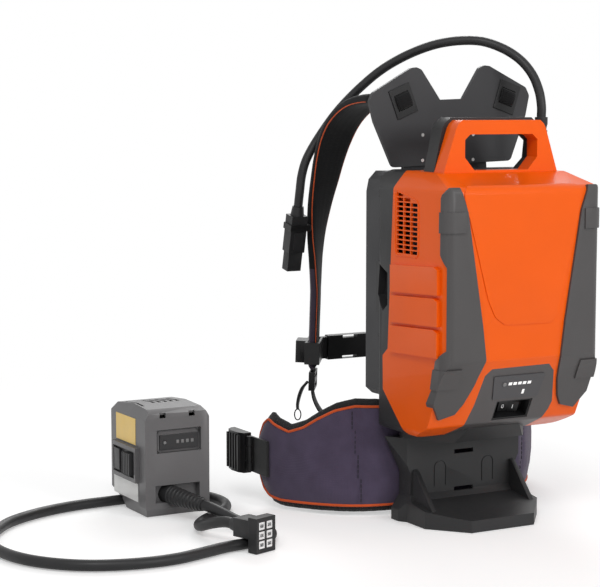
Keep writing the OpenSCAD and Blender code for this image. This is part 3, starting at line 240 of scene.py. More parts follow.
class Finish:
    """A material with its shader, and short calls that add nodes to it"""

    def __init__(self, name, colour, roughness):
        self.material = bpy.data.materials.new(name)
        self.material.use_nodes = True
        self.tree = self.material.node_tree
        self.shader = self.tree.nodes["Principled BSDF"]
        self.shader.inputs["Base Color"].default_value = colour
        self.shader.inputs["Roughness"].default_value = roughness
        self.colour, self.roughness = colour, roughness
        where = self.node("TexCoord")
        self.object_place, self.uv = where.outputs["Object"], where.outputs["UV"]
        self.normal = None

    def node(self, kind, inputs=None, **settings):
        """A node in this finish's own tree"""
        return add_node(self.tree, kind, inputs, **settings)

    def set(self, **values):
        """Constant values on the shader's own sockets"""
        for name, value in values.items():
            self.shader.inputs[name.replace("_", " ")].default_value = value
        return self

    def spread(self, value, low, high, start=0.3, end=0.7):
        """A 0 to 1 pattern drawn out from low to high"""
        return self.node("MapRange", {
            "Value": value, "From Min": start, "From Max": end, "To Min": low, "To Max": high,
        }).outputs["Result"]

    def noise(self, size, detail=3, place=None):
        """A cloud pattern whose lumps are about size metres across"""
        return self.node("TexNoise", {
            "Vector": place or self.object_place, "Scale": 1 / size, "Detail": detail,
        }).outputs["Fac"]

    def cloud(self, size, amount):
        """Darker and lighter patches of the colour"""
        low = tuple(c * (1 - amount) for c in self.colour[:3]) + (1,)
        high = tuple(min(1, c * (1 + amount)) for c in self.colour[:3]) + (1,)
        mixed = self.node("Mix", {
            "Factor": self.spread(self.noise(size), 0, 1), "A": low, "B": high,
        }, data_type="RGBA")
        self.tree.links.new(mixed.outputs["Result"], self.shader.inputs["Base Color"])
        return self

    def polish(self, size, amount):
        """Places that are duller or shinier than the rest"""
        self.tree.links.new(
            self.spread(self.noise(size), self.roughness - amount, self.roughness + amount),
            self.shader.inputs["Roughness"])
        return self

    def relief(self, pattern, depth, strength=0.5):
        """A bump of this depth in metres, laid over the ones before"""
        bump = self.node("Bump", {"Strength": strength, "Distance": depth, "Height": pattern})
        if self.normal is not None:
            self.tree.links.new(self.normal, bump.inputs["Normal"])
        self.normal = bump.outputs["Normal"]
        self.tree.links.new(self.normal, self.shader.inputs["Normal"])
        return self


print("an even grey as light:", [round(c, 3) for c in paint(128, 128, 128)])

# %% [markdown]
# ## Moulded plastic
# The mould leaves a fine grain on a plastic, handling polishes some places and dulls others, and
# the colour is never quite even. The orange shell comes from a polished mould, so it has a wide
# and shallow waviness in place of the grain, and a thin clear coat gives its gloss.

# %% Mix the plastics
def moulded(name, colour, roughness, grain=0.0009, depth=0.00008, patches=0.06):
    """A moulded plastic: clouds of colour and polish, and the grain of its mould"""
    finish = Finish(name, colour, roughness).cloud(0.09, patches).polish(0.05, roughness * 0.14)
    finish.set(Specular_IOR_Level=0.32)
    return finish.relief(finish.noise(grain, 2), depth)


shell_orange = moulded("shell_orange", paint(236, 92, 8), 0.34, 0.02, 0.0001, 0.03)
shell_orange.set(Specular_IOR_Level=0.14, Coat_Weight=0.13, Coat_Roughness=0.06)
shell_dark = moulded("shell_dark", paint(38, 38, 39), 0.46)
bumper_grey = moulded("bumper_grey", paint(74, 72, 72), 0.44)
console_grey = moulded("console_grey", paint(78, 75, 75), 0.4)
panel_grey = moulded("panel_grey", paint(72, 71, 73), 0.34, 0.0007, 0.00004)
stand_dark = moulded("stand_dark", paint(42, 42, 43), 0.45)
yoke_dark = moulded("yoke_dark", paint(50, 50, 52), 0.46)
black_plastic = moulded("black_plastic", paint(20, 20, 21), 0.4)
adapter_grey = moulded("adapter_grey", paint(100, 99, 100), 0.36)
adapter_dark = moulded("adapter_dark", paint(46, 46, 47), 0.38)
holder_grey = moulded("holder_grey", paint(92, 92, 92), 0.6)
board_green = moulded("board_green", paint(26, 92, 50), 0.4, 0.0015, 0.00005)
# This white has an emission of 0.25, a painted glow: the switch's printed marks that wear it shine
# a little as if lit.
glowing_white = moulded("glowing_white", paint(242, 242, 240), 0.25, 0.001, 0.00002, 0.01)
glowing_white.set(Emission_Color=paint(255, 255, 255), Emission_Strength=0.25)
key_grey = moulded("key_grey", paint(120, 120, 120), 0.4)
print("plastics:", len(bpy.data.materials))

# %% [markdown]
# ## Rubber, metal and film
# Rubber is dark, dull and slightly dusty. Metals have their colour in the reflection, so their
# metallic value is one and the roughness does the rest. The stickers on the adapter and the
# sleeves of the cells are printed film: smooth, a little glossy, and bare here.

# %% Make the rubber, metal and film finishes
def rubber(name, colour, roughness):
    """A cable's sleeve: fine ribs are too small to see, but the skin is a little uneven"""
    finish = Finish(name, colour, roughness).cloud(0.03, 0.14).polish(0.02, 0.07)
    finish.set(Specular_IOR_Level=0.3)
    finish.relief(finish.noise(0.0008, 2), 0.00006)
    return finish.relief(finish.noise(0.012, 2), 0.0002, 0.3)


def metal(name, colour, roughness):
    """A plated or drawn metal with fine scratches along one way"""
    finish = Finish(name, colour, roughness).set(Metallic=1.0).polish(0.004, roughness * 0.3)
    drawn = finish.node("Mapping", {"Vector": finish.object_place, "Scale": (1, 1, 14)})
    return finish.relief(finish.noise(0.002, 4, drawn.outputs[0]), 0.00003, 0.4)


def film(name, colour):
    """Printed film, as of a sticker or a cell's sleeve"""
    finish = Finish(name, colour, 0.34).cloud(0.02, 0.04).polish(0.01, 0.06)
    return finish.relief(finish.noise(0.006, 2), 0.00008, 0.3)


lead_rubber = rubber("lead_rubber", paint(36, 36, 37), 0.46)
screw_steel = metal("screw_steel", (0.56, 0.56, 0.55, 1), 0.3)
contact_brass = metal("contact_brass", (0.78, 0.62, 0.34, 1), 0.28)
contact_silver = metal("contact_silver", (0.82, 0.82, 0.82, 1), 0.3)
cell_sleeve = film("cell_sleeve", paint(74, 116, 168))
sticker_yellow = film("sticker_yellow", paint(238, 200, 104))
sticker_white = film("sticker_white", paint(228, 228, 226))
print("finishes so far:", len(bpy.data.materials))

# %% [markdown]
# ## Cloth
# Woven cloth is two sets of threads that cross. Two rows of waves at a right angle, multiplied,
# give the small raised dots where one thread passes over the other. The waves read the piece's
# own UV map, which is laid out in metres, so the threads follow a strap round its bends. A wave
# texture of scale 1 turns through 20 radians in a metre, which gives the scale for a thread.

# %% Make the cloth finishes
wave_radians = 20


def woven(name, colour, thread, depth, sheen, slub=0.1):
    """Cloth with threads this wide, in metres of the UV map"""
    finish = Finish(name, colour, 0.82).cloud(0.02, slub)
    finish.set(Sheen_Weight=sheen, Sheen_Roughness=0.5, Specular_IOR_Level=0.12)
    waves = [
        finish.node("TexWave", {
            "Vector": finish.uv, "Scale": 1 / thread / wave_radians * math.pi,
            "Distortion": 0.6, "Detail": 1.0, "Detail Scale": 2.0,
        }, wave_type="BANDS", bands_direction=way, wave_profile="SIN").outputs["Fac"]
        for way in ("X", "Y")]
    crossed = finish.node("Math", {0: waves[0], 1: waves[1]}, operation="MULTIPLY")
    finish.relief(crossed.outputs[0], depth, 0.7)
    return finish.relief(finish.noise(0.03, 2), 0.0006, 0.25)


def spacer_mesh(name, colour, hole):
    """Open knit over foam: small round holes in rows"""
    finish = Finish(name, colour, 0.9).cloud(0.03, 0.2).set(Sheen_Weight=0.25)
    holes = finish.node("TexVoronoi", {
        "Vector": finish.object_place, "Scale": 1 / hole, "Randomness": 0.25}).outputs["Distance"]
    finish.relief(finish.spread(holes, 0, 1, 0.1, 0.5), 0.0008, 0.8)
    return finish.relief(finish.noise(0.0012, 3), 0.0004, 0.5)


belt_cloth = woven("belt_cloth", paint(74, 65, 85), 0.0009, 0.00018, 0.25)
strap_cloth = woven("strap_cloth", paint(22, 22, 23), 0.0012, 0.0002, 0.12)
lining_cloth = woven("lining_cloth", paint(58, 49, 62), 0.0009, 0.0002, 0.35)
web_cloth = woven("web_cloth", paint(22, 22, 23), 0.0016, 0.0004, 0.12)
piping_cloth = woven("piping_cloth", paint(200, 82, 38), 0.0008, 0.00012, 0.2, 0.06)
pad_mesh = spacer_mesh("pad_mesh", paint(22, 22, 23), 0.0032)
thread_black = woven("thread_black", paint(44, 42, 48), 0.0004, 0.00005, 0.2)
print("all finishes:", len(bpy.data.materials))

# %% [markdown]
# ## Putting a piece together
# Every piece ends the same way: its mesh becomes an object, gets its finish, is shaded smooth
# apart from its sharp edges, and rides on the body that carries it. One helper does all of it.

# %% Write the helper that finishes a piece
def mm(*values):
    """Millimetres to a point in metres"""
    return Vector(values) / 1000


def finished(bm, name, finish, body, slot, crease=35, outward=True):
    """The mesh as a piece of the object, which rides on its body"""
    if outward:
        bmesh.ops.recalc_face_normals(bm, faces=bm.faces)
    mesh = bpy.data.meshes.new(name)
    bm.to_mesh(mesh)
    bm.free()
    mesh.materials.clear()
    mesh.materials.append(finish.material)
    for face in mesh.polygons:
        face.use_smooth = True
    mesh.set_sharp_from_angle(angle=math.radians(crease))
    piece = bpy.data.objects.new(name, mesh)
    scene.collection.objects.link(piece)
    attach(piece, body)
    return piece


# %% [markdown]
# ## The two leads
# A lead is a length of something flexible. The thick output lead rises from its gland, goes
# over the yoke in one stiff bow and comes down the left strap to its connector. The adapter's
# lead lies on the floor in a wide loop that ends in a flat plug. Each follows the same points
# as its CAD solid.

# %% Choose the leads' routes
output_route = [mm(*p) for p in (
    (94, 7, 474), (94, 7, 487), (93, 11, 505), (89, 20, 525), (80, 34, 543), (64, 51, 557),
    (44, 72, 565), (16, 100, 563), (-10, 126, 552), (-36, 152, 533), (-59, 173, 508),
    (-80, 190, 480), (-98, 202, 450), (-113, 206, 424), (-120, 207, 403), (-122.5, 208, 382),
    (-122.5, 212, 364))]
adapter_route = [mm(*p) for p in (
    (-290, 138, 21), (-286, 126, 20), (-279, 109, 16), (-271, 91, 11), (-261, 74, 8),
    (-254, 56, 6.5), (-255, 36, 6.5), (-266, 18, 6.5), (-284, 7, 6.5), (-305, 3, 6.5),
    (-332, -1, 6.5), (-364, -11, 6.5), (-398, -20, 6.5), (-433, -20, 6.5), (-467, -12, 6.5),
    (-497, 3, 6.5), (-522, 26, 6.5), (-541, 56, 6.5), (-551, 90, 6.5), (-552, 126, 6.5),
    (-543, 162, 6.5), (-524, 195, 6.5), (-498, 225, 6.5), (-465, 247, 6.5), (-429, 262, 6.5),
    (-392, 270, 6.5), (-354, 272, 6.5), (-318, 272, 6.5), (-286, 270, 6.5), (-258, 265, 6.5),
    (-242, 247, 6.5), (-234, 224, 6.5), (-234, 197, 6.5), (-244, 172, 6.5), (-265, 149, 6.5),
    (-291, 130, 6.5), (-310, 109, 7), (-319, 85, 11), (-317, 60, 19), (-311, 40, 24),
    (-307, 28, 24))]
print("route points:", len(output_route), "and", len(adapter_route))

# %% [markdown]
# ## Laying a lead
# Straight runs between the points would show as corners. A smooth curve that passes through
# every point bends as a rubber sleeve does, and a curve object with a round profile turns it
# into a lead.

# %% Lay the leads
def smooth_line(points, per_span):
    """Points on a smooth curve that passes through the given ones"""
    pts = [Vector(p) for p in points]
    ends = [2 * pts[0] - pts[1]] + pts + [2 * pts[-1] - pts[-2]]
    line = []
    for k in range(1, len(ends) - 2):
        a, b, c, d = ends[k - 1:k + 3]
        for step in range(per_span):
            t = step / per_span
            line.append(0.5 * (2 * b + (c - a) * t + (2 * a - 5 * b + 4 * c - d) * t * t
                               + (3 * b - a - 3 * c + d) * t ** 3))
    return line + [pts[-1]]


def line_length(line):
    """The length of a line of points"""
    return sum((b - a).length for a, b in zip(line, line[1:]))


def lead(name, route, diameter, body):
    """A round lead along its route, as a curve, with its length"""
    line = smooth_line(route, 5)
    curve = bpy.data.curves.new(name, "CURVE")
    curve.dimensions = "3D"
    curve.bevel_depth, curve.bevel_resolution, curve.use_fill_caps = diameter / 2, 6, True
    spline = curve.splines.new("POLY")
    spline.points.add(len(line) - 1)
    for point, place in zip(spline.points, line):
        point.co = (*place, 1)
    spline.use_smooth = True
    curve.materials.append(lead_rubber.material)
    piece = bpy.data.objects.new(name, curve)
    scene.collection.objects.link(piece)
    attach(piece, body)
    print(name, "has", len(line), "points")
    return piece, line_length(line)


output_cable, output_length = lead("output_cable", output_route, 0.011, "pack")
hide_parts("output_lead")
adapter_cable, adapter_length = lead("adapter_cable", adapter_route, 0.0125, "adapter")
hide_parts("adapter_lead")

# %% [markdown]
# ## Copies of hard pieces
# The shells, bumpers, buckles and the stand have their right shape in the CAD model already, so
# each is a copy of its node. No moulded edge is perfectly sharp, and its small rounding is what
# catches the light, so a bevel modifier rounds the hard edges. It follows face edges, so the
# copy's loose triangles, with their thousands of false edges, are joined into whole faces first.

# %% Write the helpers for hard pieces
def rounded(piece, width):
    """A bevel on the piece's hard edges, width in millimetres"""
    bevel = piece.modifiers.new("rounded_edges", "BEVEL")
    bevel.width, bevel.segments = width / 1000, 2
    bevel.limit_method, bevel.angle_limit = "ANGLE", math.radians(28)
    bevel.harden_normals = True
    return piece


def merged(node):
    """A copy of a CAD node's mesh with its loose triangles joined and its flat faces whole"""
    bm = bmesh.new()
    bm.from_mesh(frame["nodes"][node].data)
    bmesh.ops.remove_doubles(bm, verts=bm.verts, dist=0.00002)
    bmesh.ops.dissolve_limit(
        bm, angle_limit=math.radians(0.6), verts=bm.verts, edges=bm.edges)
    return bm


def dressed(node, name, finish, slot, edge):
    """A CAD node's own shape with rounded edges, which stands for the node"""
    body = frame["nodes"][node]["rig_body"]
    piece = finished(merged(node), name, finish, body, slot, outward=False)
    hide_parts(node)
    return rounded(piece, edge)


print("CAD nodes to copy from:", len(frame["nodes"]))

# %% [markdown]
# ## The hard pieces
# Each line gives a node, its piece's name, the finish and its slot, and how wide the rounding
# is in millimetres. A big moulding gets a wider rounding than a small catch. The finishes that
# come back often are named with their slot first.

# %% Dress the hard pieces
orange, black = (shell_orange, "orange_shell"), (black_plastic, "black_plastic")
casing, trim = (adapter_grey, "adapter_grey"), (adapter_dark, "adapter_dark")
boot = (lead_rubber, "black_rubber")
for node, name, finish, slot, edge in (
        ("front_shell", "front_cover", *orange, 1.1),
        ("rear_shell", "rear_cover", shell_dark, "dark_shell", 1.0),
        ("corner_bumper_left", "left_bumper", bumper_grey, "grey_bumper", 2.4),
        ("corner_bumper_right", "right_bumper", bumper_grey, "grey_bumper", 2.4),
        ("handle_front", "handle_front_half", *orange, 4.0),
        ("handle_rear", "handle_rear_half", shell_dark, "dark_shell", 4.0),
        ("console", "console_cover", console_grey, "panel_grey", 2.4),
        ("status_panel", "console_label", panel_grey, "panel_grey", 0.4),
        ("status_button", "status_key_cap", key_grey, "button_grey", 0.5),
        ("switch_well", "switch_housing", *black, 0.8),
        ("power_rocker", "rocker_cap", *black, 0.8),
        ("cable_gland", "gland_boot", *boot, 0.4),
        ("lead_connector", "connector_shell", *boot, 2.0),
        ("lead_clip", "connector_clip", *black, 0.6),
        ("stand", "stand_foot", stand_dark, "dark_shell", 2.6),
        ("harness_frame", "back_frame", yoke_dark, "dark_shell", 1.2),
        ("yoke_plate", "shoulder_yoke", yoke_dark, "dark_shell", 1.6),
        ("strap_loops", "yoke_loops", *black, 0.6),
        ("ladder_locks", "ladder_buckles", *black, 1.0),
        ("chest_sliders", "chest_slider_blocks", *black, 1.2),
        ("chest_buckle", "chest_clip", *black, 1.6),
        ("belt_tabs", "belt_hinges", *black, 0.6),
        ("belt_buckle_left", "left_buckle_shell", *black, 1.4),
        ("belt_buckle_right", "right_buckle_shell", *black, 1.4),
        ("adapter_body", "adapter_rear_shell", *casing, 3.0),
        ("adapter_front", "adapter_front_shell", *casing, 3.0),
        ("adapter_display", "adapter_window", *trim, 0.4),
        ("adapter_button", "adapter_key_cap", key_grey, "black_plastic", 0.3),
        ("adapter_latch_left", "left_latch_plate", *trim, 1.0),
        ("adapter_latch_right", "right_latch_plate", *trim, 1.0),
        ("adapter_relief", "relief_boot", *boot, 0.4),
        ("plug_body", "plug_shell", *boot, 1.2)):
    dressed(node, name, finish, slot, edge)

# %% [markdown]
# ## The pieces inside
# The cells, their holders, the boards and the screws are mostly out of sight, and their shapes
# are right as they are. They stay as CAD nodes, and only their finish is changed.

# %% Finish the inner pieces
for finish, nodes in (
        (cell_sleeve, ["cells"]),
        (holder_grey, ["cell_holder_front", "cell_holder_rear"]),
        (contact_silver, ["busbars", "plug_contacts"]),
        (board_green, ["control_board", "status_board", "adapter_board"]),
        (screw_steel, ["pack_bolts", "shell_screws", "stand_screws", "frame_bolts",
                       "yoke_bolts", "adapter_screws"]),
        (contact_brass, ["adapter_terminals"]),
        (glowing_white, ["status_leds"])):
    for node in nodes:
        mesh = frame["nodes"][node].data
        mesh.materials.clear()
        mesh.materials.append(finish.material)
print("kept as they are:", sorted(o.name for o in frame["nodes"].values() if not o.hide_render))

# %% [markdown]
# ## The leads' lengths
# The length of each lead, measured along its curve, is printed.

print("output lead", round(output_length, 3), "adapter lead", round(adapter_length, 3))

# %% [markdown]
# ## Drawing a skin over a line
# Straps, piping and the belt are all long things whose section changes slowly. A flat grid can
# be wrapped round such a line: one way of the grid runs along it and the other goes round the
# section. The grid keeps its UV map in metres, so that a weave on it has its real size.

# %% Write the skin helpers
def skin(along, around, place, length, girth, closed=True):
    """A grid of along by around faces, moved to place(u, v) and closed into a skin"""
    bm = bmesh.new()
    bmesh.ops.create_grid(bm, x_segments=along, y_segments=around, size=0.5)
    uv = bm.loops.layers.uv.verify()
    for face in bm.faces:
        for loop in face.loops:
            loop[uv].uv = ((loop.vert.co.x + 0.5) * length, (loop.vert.co.y + 0.5) * girth)
    for vert in bm.verts:
        vert.co = place(vert.co.x + 0.5, vert.co.y + 0.5)
    bmesh.ops.remove_doubles(bm, verts=bm.verts, dist=0.00001)
    if closed:
        rim = [e for e in bm.edges if e.is_boundary]
        bmesh.ops.holes_fill(bm, edges=rim, sides=0)
    return bm


def even(line, count):
    """The line again as count + 1 points at even distances"""
    lengths = np.cumsum([0] + [(b - a).length for a, b in zip(line, line[1:])])
    marks = np.linspace(0, lengths[-1], count + 1)
    return [Vector([float(np.interp(m, lengths, [p[i] for p in line])) for i in range(3)])
            for m in marks]


print("evenly spaced:", [round(p.x, 2) for p in even([mm(0, 0, 0), mm(1000, 0, 0)], 4)])

# %% [markdown]
# ## Round cords
# Piping, rims, stitches and printed marks are thin round cords here: skins whose section is a
# circle square to the line. A fixed side direction, one that the line never takes, keeps it
# from rolling over. Small parts that belong together are joined into one mesh.

# %% Write the cord helpers
def tube(line, radius, around, side, steps=0):
    """A round cord along a line, or round a closed outline in even steps where steps is given"""
    if steps:
        line = even(line + [line[0]], steps)
    count = len(line) - 1
    side = Vector(side)

    def place(u, v):
        k = min(round(u * count), count)
        if steps:
            ahead = (line[(k + 1) % count] - line[(k - 1) % count]).normalized()
        else:
            ahead = (line[min(k + 1, count)] - line[max(k - 1, 0)]).normalized()
        across = ahead.cross(side).normalized()
        over = ahead.cross(across)
        turn = 2 * math.pi * v
        return line[k] + radius * (math.cos(turn) * across + math.sin(turn) * over)

    return skin(count, around, place, line_length(line), 2 * math.pi * radius, not steps)


def joined(parts, name, finish, slot="strap_fabric", body="pack"):
    """Several small meshes as one piece"""
    whole = bmesh.new()
    for part in parts:
        mesh = bpy.data.meshes.new("part")
        part.to_mesh(mesh)
        part.free()
        whole.from_mesh(mesh)
        bpy.data.meshes.remove(mesh)
    return finished(whole, name, finish, body, slot, 60)


print("cord helpers ready")

# %% [markdown]
# ## A line with a width
# A strap is a line that has a width and a twist at every point. Rows give a few points in
# millimetres with both, and the class reads off what lies between, so that a pad, its piping
# and plain webbing can follow one line. The left side is the right one's mirror image.

# %% Write the ribbon
class Ribbon:
    """A line with a width and a twist, drawn for the right side or mirrored to the left"""

    def __init__(self, rows, side, count):
        self.side = side
        per_row = 6
        line = smooth_line([mm(*row[:3]) for row in rows], per_row)
        steps = np.cumsum([0] + [(b - a).length for a, b in zip(line, line[1:])])
        at_rows = steps[::per_row]
        marks = np.linspace(0, steps[-1], count + 1)
        self.length = float(steps[-1])
        self.line = even(line, count)
        self.width = np.interp(marks, at_rows, [row[3] / 1000 for row in rows]).tolist()
        self.twist = np.interp(marks, at_rows, [math.radians(row[4]) for row in rows]).tolist()
        self.count = count

    def frame(self, k):
        """The point, the direction across and the direction towards the wearer"""
        ahead = (self.line[min(k + 1, self.count)] - self.line[max(k - 1, 0)]).normalized()
        flat = (Vector((1, 0, 0)) - ahead.x * ahead).normalized()
        inward = ahead.cross(flat)
        turn = self.twist[k]
        across = math.cos(turn) * flat + math.sin(turn) * inward
        return self.line[k], across, ahead.cross(across)

    def point(self, k, w, n):
        """w across and n towards the wearer, in metres"""
        place, across, inward = self.frame(k)
        spot = place + w * across + n * inward
        return Vector((spot.x * self.side, spot.y, spot.z))


def oval(v, half, thick, flat=0.42, round_=0.62):
    """A point of a flattened oval: how far across, and how far towards the wearer"""
    c, s = math.cos(2 * math.pi * v), math.sin(2 * math.pi * v)
    return (half * math.copysign(abs(c) ** flat, c),
            thick / 2 * math.copysign(abs(s) ** round_, s))


print("an oval's top and side:", oval(0.25, 1, 1)[1], oval(0, 1, 1)[0])

# %% [markdown]
# ## Shoulder straps
# A shoulder strap is a long pad: black cloth over foam, with a lighter cloth on its outer face
# lower down. Its straight lower half turns its outer edge forwards, so that both faces are seen
# from the front. A flattened oval is carried along the strap's line and turned as it goes, and
# the faces that look outwards below a certain height get the second cloth.

# %% Write the strap's pad
strap_lean = 0.06


def low_y(z):
    """How far in the strap's straight lower half lies at a height, in millimetres"""
    return 242 - (z - 156) * strap_lean


strap_rows = [
    (86, 69, 495, 40, 0), (86, 91, 495, 42, 0), (86, 118, 491, 46, 0), (86, 142, 482, 48, 0),
    (86, 166, 467, 48, 0), (86, 185, 446, 46, 0), (86, 199, 422, 43, 2), (86, 210, 396, 41, 8),
    (86, 222, 365, 40, 20), (86, 230, 332, 40, 34), (85, 234, 300, 40, 46),
    (84, low_y(256), 256, 40, 55), (84, low_y(206), 206, 40, 55), (84, low_y(156), 156, 40, 55)]
strap_thick, end_share = 0.0118, 0.012
second_cloth_below, outer_reach = 0.285, 0.0025


def strap_pad(side, name):
    """One padded strap with its outer cloth, and the ribbon that it follows"""
    ribbon = Ribbon(strap_rows, side, 120)

    def place(u, v):
        k = round(u * ribbon.count)
        ends = min(1, min(u, 1 - u) / end_share)
        w, n = oval(v, ribbon.width[k] / 2, strap_thick)
        puff = 1 + 0.025 * math.sin(u * 29) * math.sin(u * 13 + 1)
        return ribbon.point(k, w * (0.86 + 0.14 * ends), n * (0.35 + 0.65 * ends) * puff)

    bm = skin(ribbon.count, 28, place, ribbon.length, 0.1)
    piece = finished(bm, name, strap_cloth, "pack", "strap_fabric", 60)
    piece.data.materials.append(lining_cloth.material)
    for face in piece.data.polygons:
        corners = [piece.data.vertices[i].co for i in face.vertices]
        centre = sum(corners, Vector()) / len(corners)
        spot = min(range(ribbon.count + 1),
                   key=lambda k: (ribbon.point(k, 0, 0) - centre).length_squared)
        _, _, inward = ribbon.frame(spot)
        away = centre - ribbon.point(spot, 0, 0)
        away.x *= side
        if centre.z < second_cloth_below and away.dot(inward) < outer_reach:
            face.material_index = 1
    return ribbon, piece


print("a strap follows", len(strap_rows), "points")

# %% [markdown]
# ## The straps and their piping
# The seam between the two cloths holds a thin orange piping along both edges of the pad, a
# little towards the wearer. It is drawn as two round cords just inside the ribbon's width.

# %% Make the shoulder straps
piping_in, piping_behind = 0.0016, 0.0034
strap_lengths = []
for side, word in ((-1, "left"), (1, "right")):
    ribbon, pad = strap_pad(side, f"{word}_strap_pad")
    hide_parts(f"shoulder_strap_{word}")
    strap_lengths.append(round(ribbon.length, 3))
    seams = []
    for edge in (-1, 1):
        seam = [ribbon.point(k, edge * (ribbon.width[k] / 2 - piping_in), piping_behind)
                for k in range(3, ribbon.count - 1)]
        seams.append(tube(seam, 0.0009, 8, (1, 0.3, 0)))
    joined(seams, f"{word}_strap_piping", piping_cloth)
print("straps:", strap_lengths, "m long")

# %% [markdown]
# ## Plain webbing
# Below the pad the strap goes on as plain webbing, a narrow woven band two millimetres thick.
# It passes through the ladder buckle, bends forward inside the belt and ends on a lug of the
# frame. It is drawn over a ribbon as the pad is, with a flatter section.

# %% Make the lower webbing
web_x, web_width, web_thick, web_girth = 84, 25, 0.0019, 0.054
web_rows = [(web_x, y, z, web_width, twist) for y, z, twist in (
    (242, 156, 55), (242.6, 146, 55), (243.2, 136, 55), (243.7, 127, 55), (239, 117, 50),
    (229, 108, 42), (214, 101, 30), (194, 96, 18), (168, 94, 8), (140, 93, 0), (112, 93, 0),
    (96, 92.5, 0), (89, 90, 0), (85.5, 85, 0), (85.5, 78, 0))]


def band(ribbon):
    """A flat woven band along a ribbon"""
    def place(u, v):
        k = round(u * ribbon.count)
        return ribbon.point(k, *oval(v, ribbon.width[k] / 2, web_thick, 0.2, 0.5))

    return skin(ribbon.count, 16, place, ribbon.length, web_girth)


webs = [band(Ribbon(web_rows, side, 90)) for side in (-1, 1)]
lower_web = joined(webs, "lower_web", web_cloth)
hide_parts("lower_webbing")
print("lower webbing faces:", len(lower_web.data.polygons))

# %% [markdown]
# ## The chest strap
# The chest strap is the same webbing, in two lengths that meet in the clip. It is straight, so
# it needs no ribbon: a length runs across, and its section leans as the shoulder straps do.

# %% Make the chest webbing
chest_height, chest_behind = 178, 14.5
chest_half, chest_thick = 12.4, 1.9
chest_lean = math.atan(strap_lean)


def chest_band(x0, x1):
    """A length of chest webbing from x0 to x1, in millimetres"""
    def place(u, v):
        z, n = oval(v, chest_half, chest_thick, 0.2, 0.5)
        y = chest_behind + n
        return mm(x0 + (x1 - x0) * u,
                  low_y(chest_height) + y * math.cos(chest_lean) - z * math.sin(chest_lean),
                  chest_height + y * math.sin(chest_lean) + z * math.cos(chest_lean))

    return skin(18, 16, place, abs(x1 - x0) / 1000, web_girth)


chest_web = joined([chest_band(-58, -47), chest_band(-7, 58)], "chest_web", web_cloth,
                   body="chest_strap")
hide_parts("chest_webbing")
print("chest webbing faces:", len(chest_web.data.polygons))

# %% [markdown]
# ## The hip belt
# The belt goes round from one hip to the other behind the stand. It has two layers: a thick
# black pad of open knit against the wearer, and a crowned cover of smooth cloth outside it,
# with an orange piping sewn all round the cover's edge. Both are drawn over one line at the
# belt's outer face, with a top and a bottom edge that rise and fall along it.

# %% Draw the belt's line and edges
wing_line = [(60, 56), (72, 56), (96, 61), (117, 69), (134, 80), (148, 93), (161, 108),
             (172, 124), (182, 142), (189, 160), (191, 172), (191, 188), (191, 199.5)]
edge_y = [56, 61, 72, 88, 104, 120, 138, 158, 172, 184, 194, 199.5]
edge_top = [138, 141, 142, 136, 125, 113, 106, 112, 118, 111, 95, 70]
low_edge_y = [56, 150, 170, 184, 194, 199.5]
low_edge = [5, 4, 7, 14, 29, 54]
half_line = smooth_line([mm(x, y, 0) for x, y in wing_line], 8)
mirror_line = [Vector((-p.x, p.y, 0)) for p in reversed(half_line)]
belt_count = 150
belt_line = even(mirror_line + half_line, belt_count)
belt_length = line_length(belt_line)


def belt_edges(k):
    """The heights of the belt's bottom and top edge"""
    y = belt_line[k].y * 1000
    return (float(np.interp(y, low_edge_y, low_edge)) / 1000,
            float(np.interp(y, edge_y, edge_top)) / 1000)


def belt_point(k, inset, height):
    """A point this far inside the belt's line, at this height"""
    ahead = belt_line[min(k + 1, belt_count)] - belt_line[max(k - 1, 0)]
    inward = Vector((-ahead.y, ahead.x, 0)).normalized()
    spot = belt_line[k] + inward * inset
    return Vector((spot.x, spot.y, height))


print("belt:", round(belt_length, 3), "m round")

# %% [markdown]
# ## The belt's cover
# The cover is smooth cloth over thin foam, crowned between its edges and drawn in at the two
# seams where the wings are sewn on. A cloth simulation could blow it up, but a crown is a short
# formula, and with it the cover stays where the belt's line says. Small slow waves keep the
# cloth from looking like metal.

# %% Make the belt's cover
cover_low, cover_top = 0.009, 0.0085
cover_outer, cover_edge, cover_inner = 0.0052, 0.0058, 0.0105
crown_height, seam_dip = 0.0046, 0.0016
least_half, seam_x = 0.002, 0.121
seam_side = min(range(belt_count // 2), key=lambda k: abs(belt_line[k].x + seam_x))
seam_marks = [seam_side, belt_count - seam_side]


def cover_place(u, v):
    """The cover: crowned outside, flat inside, drawn in at its seams"""
    k = round(u * belt_count)
    low, top = belt_edges(k)
    low, top = low + cover_low, top - cover_top
    half = max((top - low) / 2, least_half)
    h, n = oval(v, half, 1, 0.72, 0.45)
    crown = 1 - (abs(h) / half) ** 3
    seam = max(math.exp(-((k - mark) / 1.1) ** 2) for mark in seam_marks)
    swell = 0.0005 * math.sin(k * 0.9) * math.sin(h * 160) + 0.0007 * math.sin(k * 0.31 + h * 40)
    outer = cover_outer - crown_height * crown + seam_dip * seam * crown - swell * crown
    depth = cover_inner if n > 0 else outer
    return belt_point(k, cover_edge + (depth - cover_edge) * abs(n) * 2, (low + top) / 2 + h)


belt_cover = finished(skin(belt_count, 44, cover_place, belt_length, 0.26), "belt_cover",
                      belt_cloth, "pack", "belt_fabric", 70)
print("cover faces:", len(belt_cover.data.polygons))

# %% [markdown]
# ## The belt's pad
# Behind the cover lies the pad that the wearer feels, thick foam in open knit. It is as high as
# the belt, so a soft dark rim of it shows all round the cover. A little fuzz on its surface
# stands for the knit's loops.

# %% Make the belt's pad
pad_middle, pad_thick = 0.0135, 0.0095


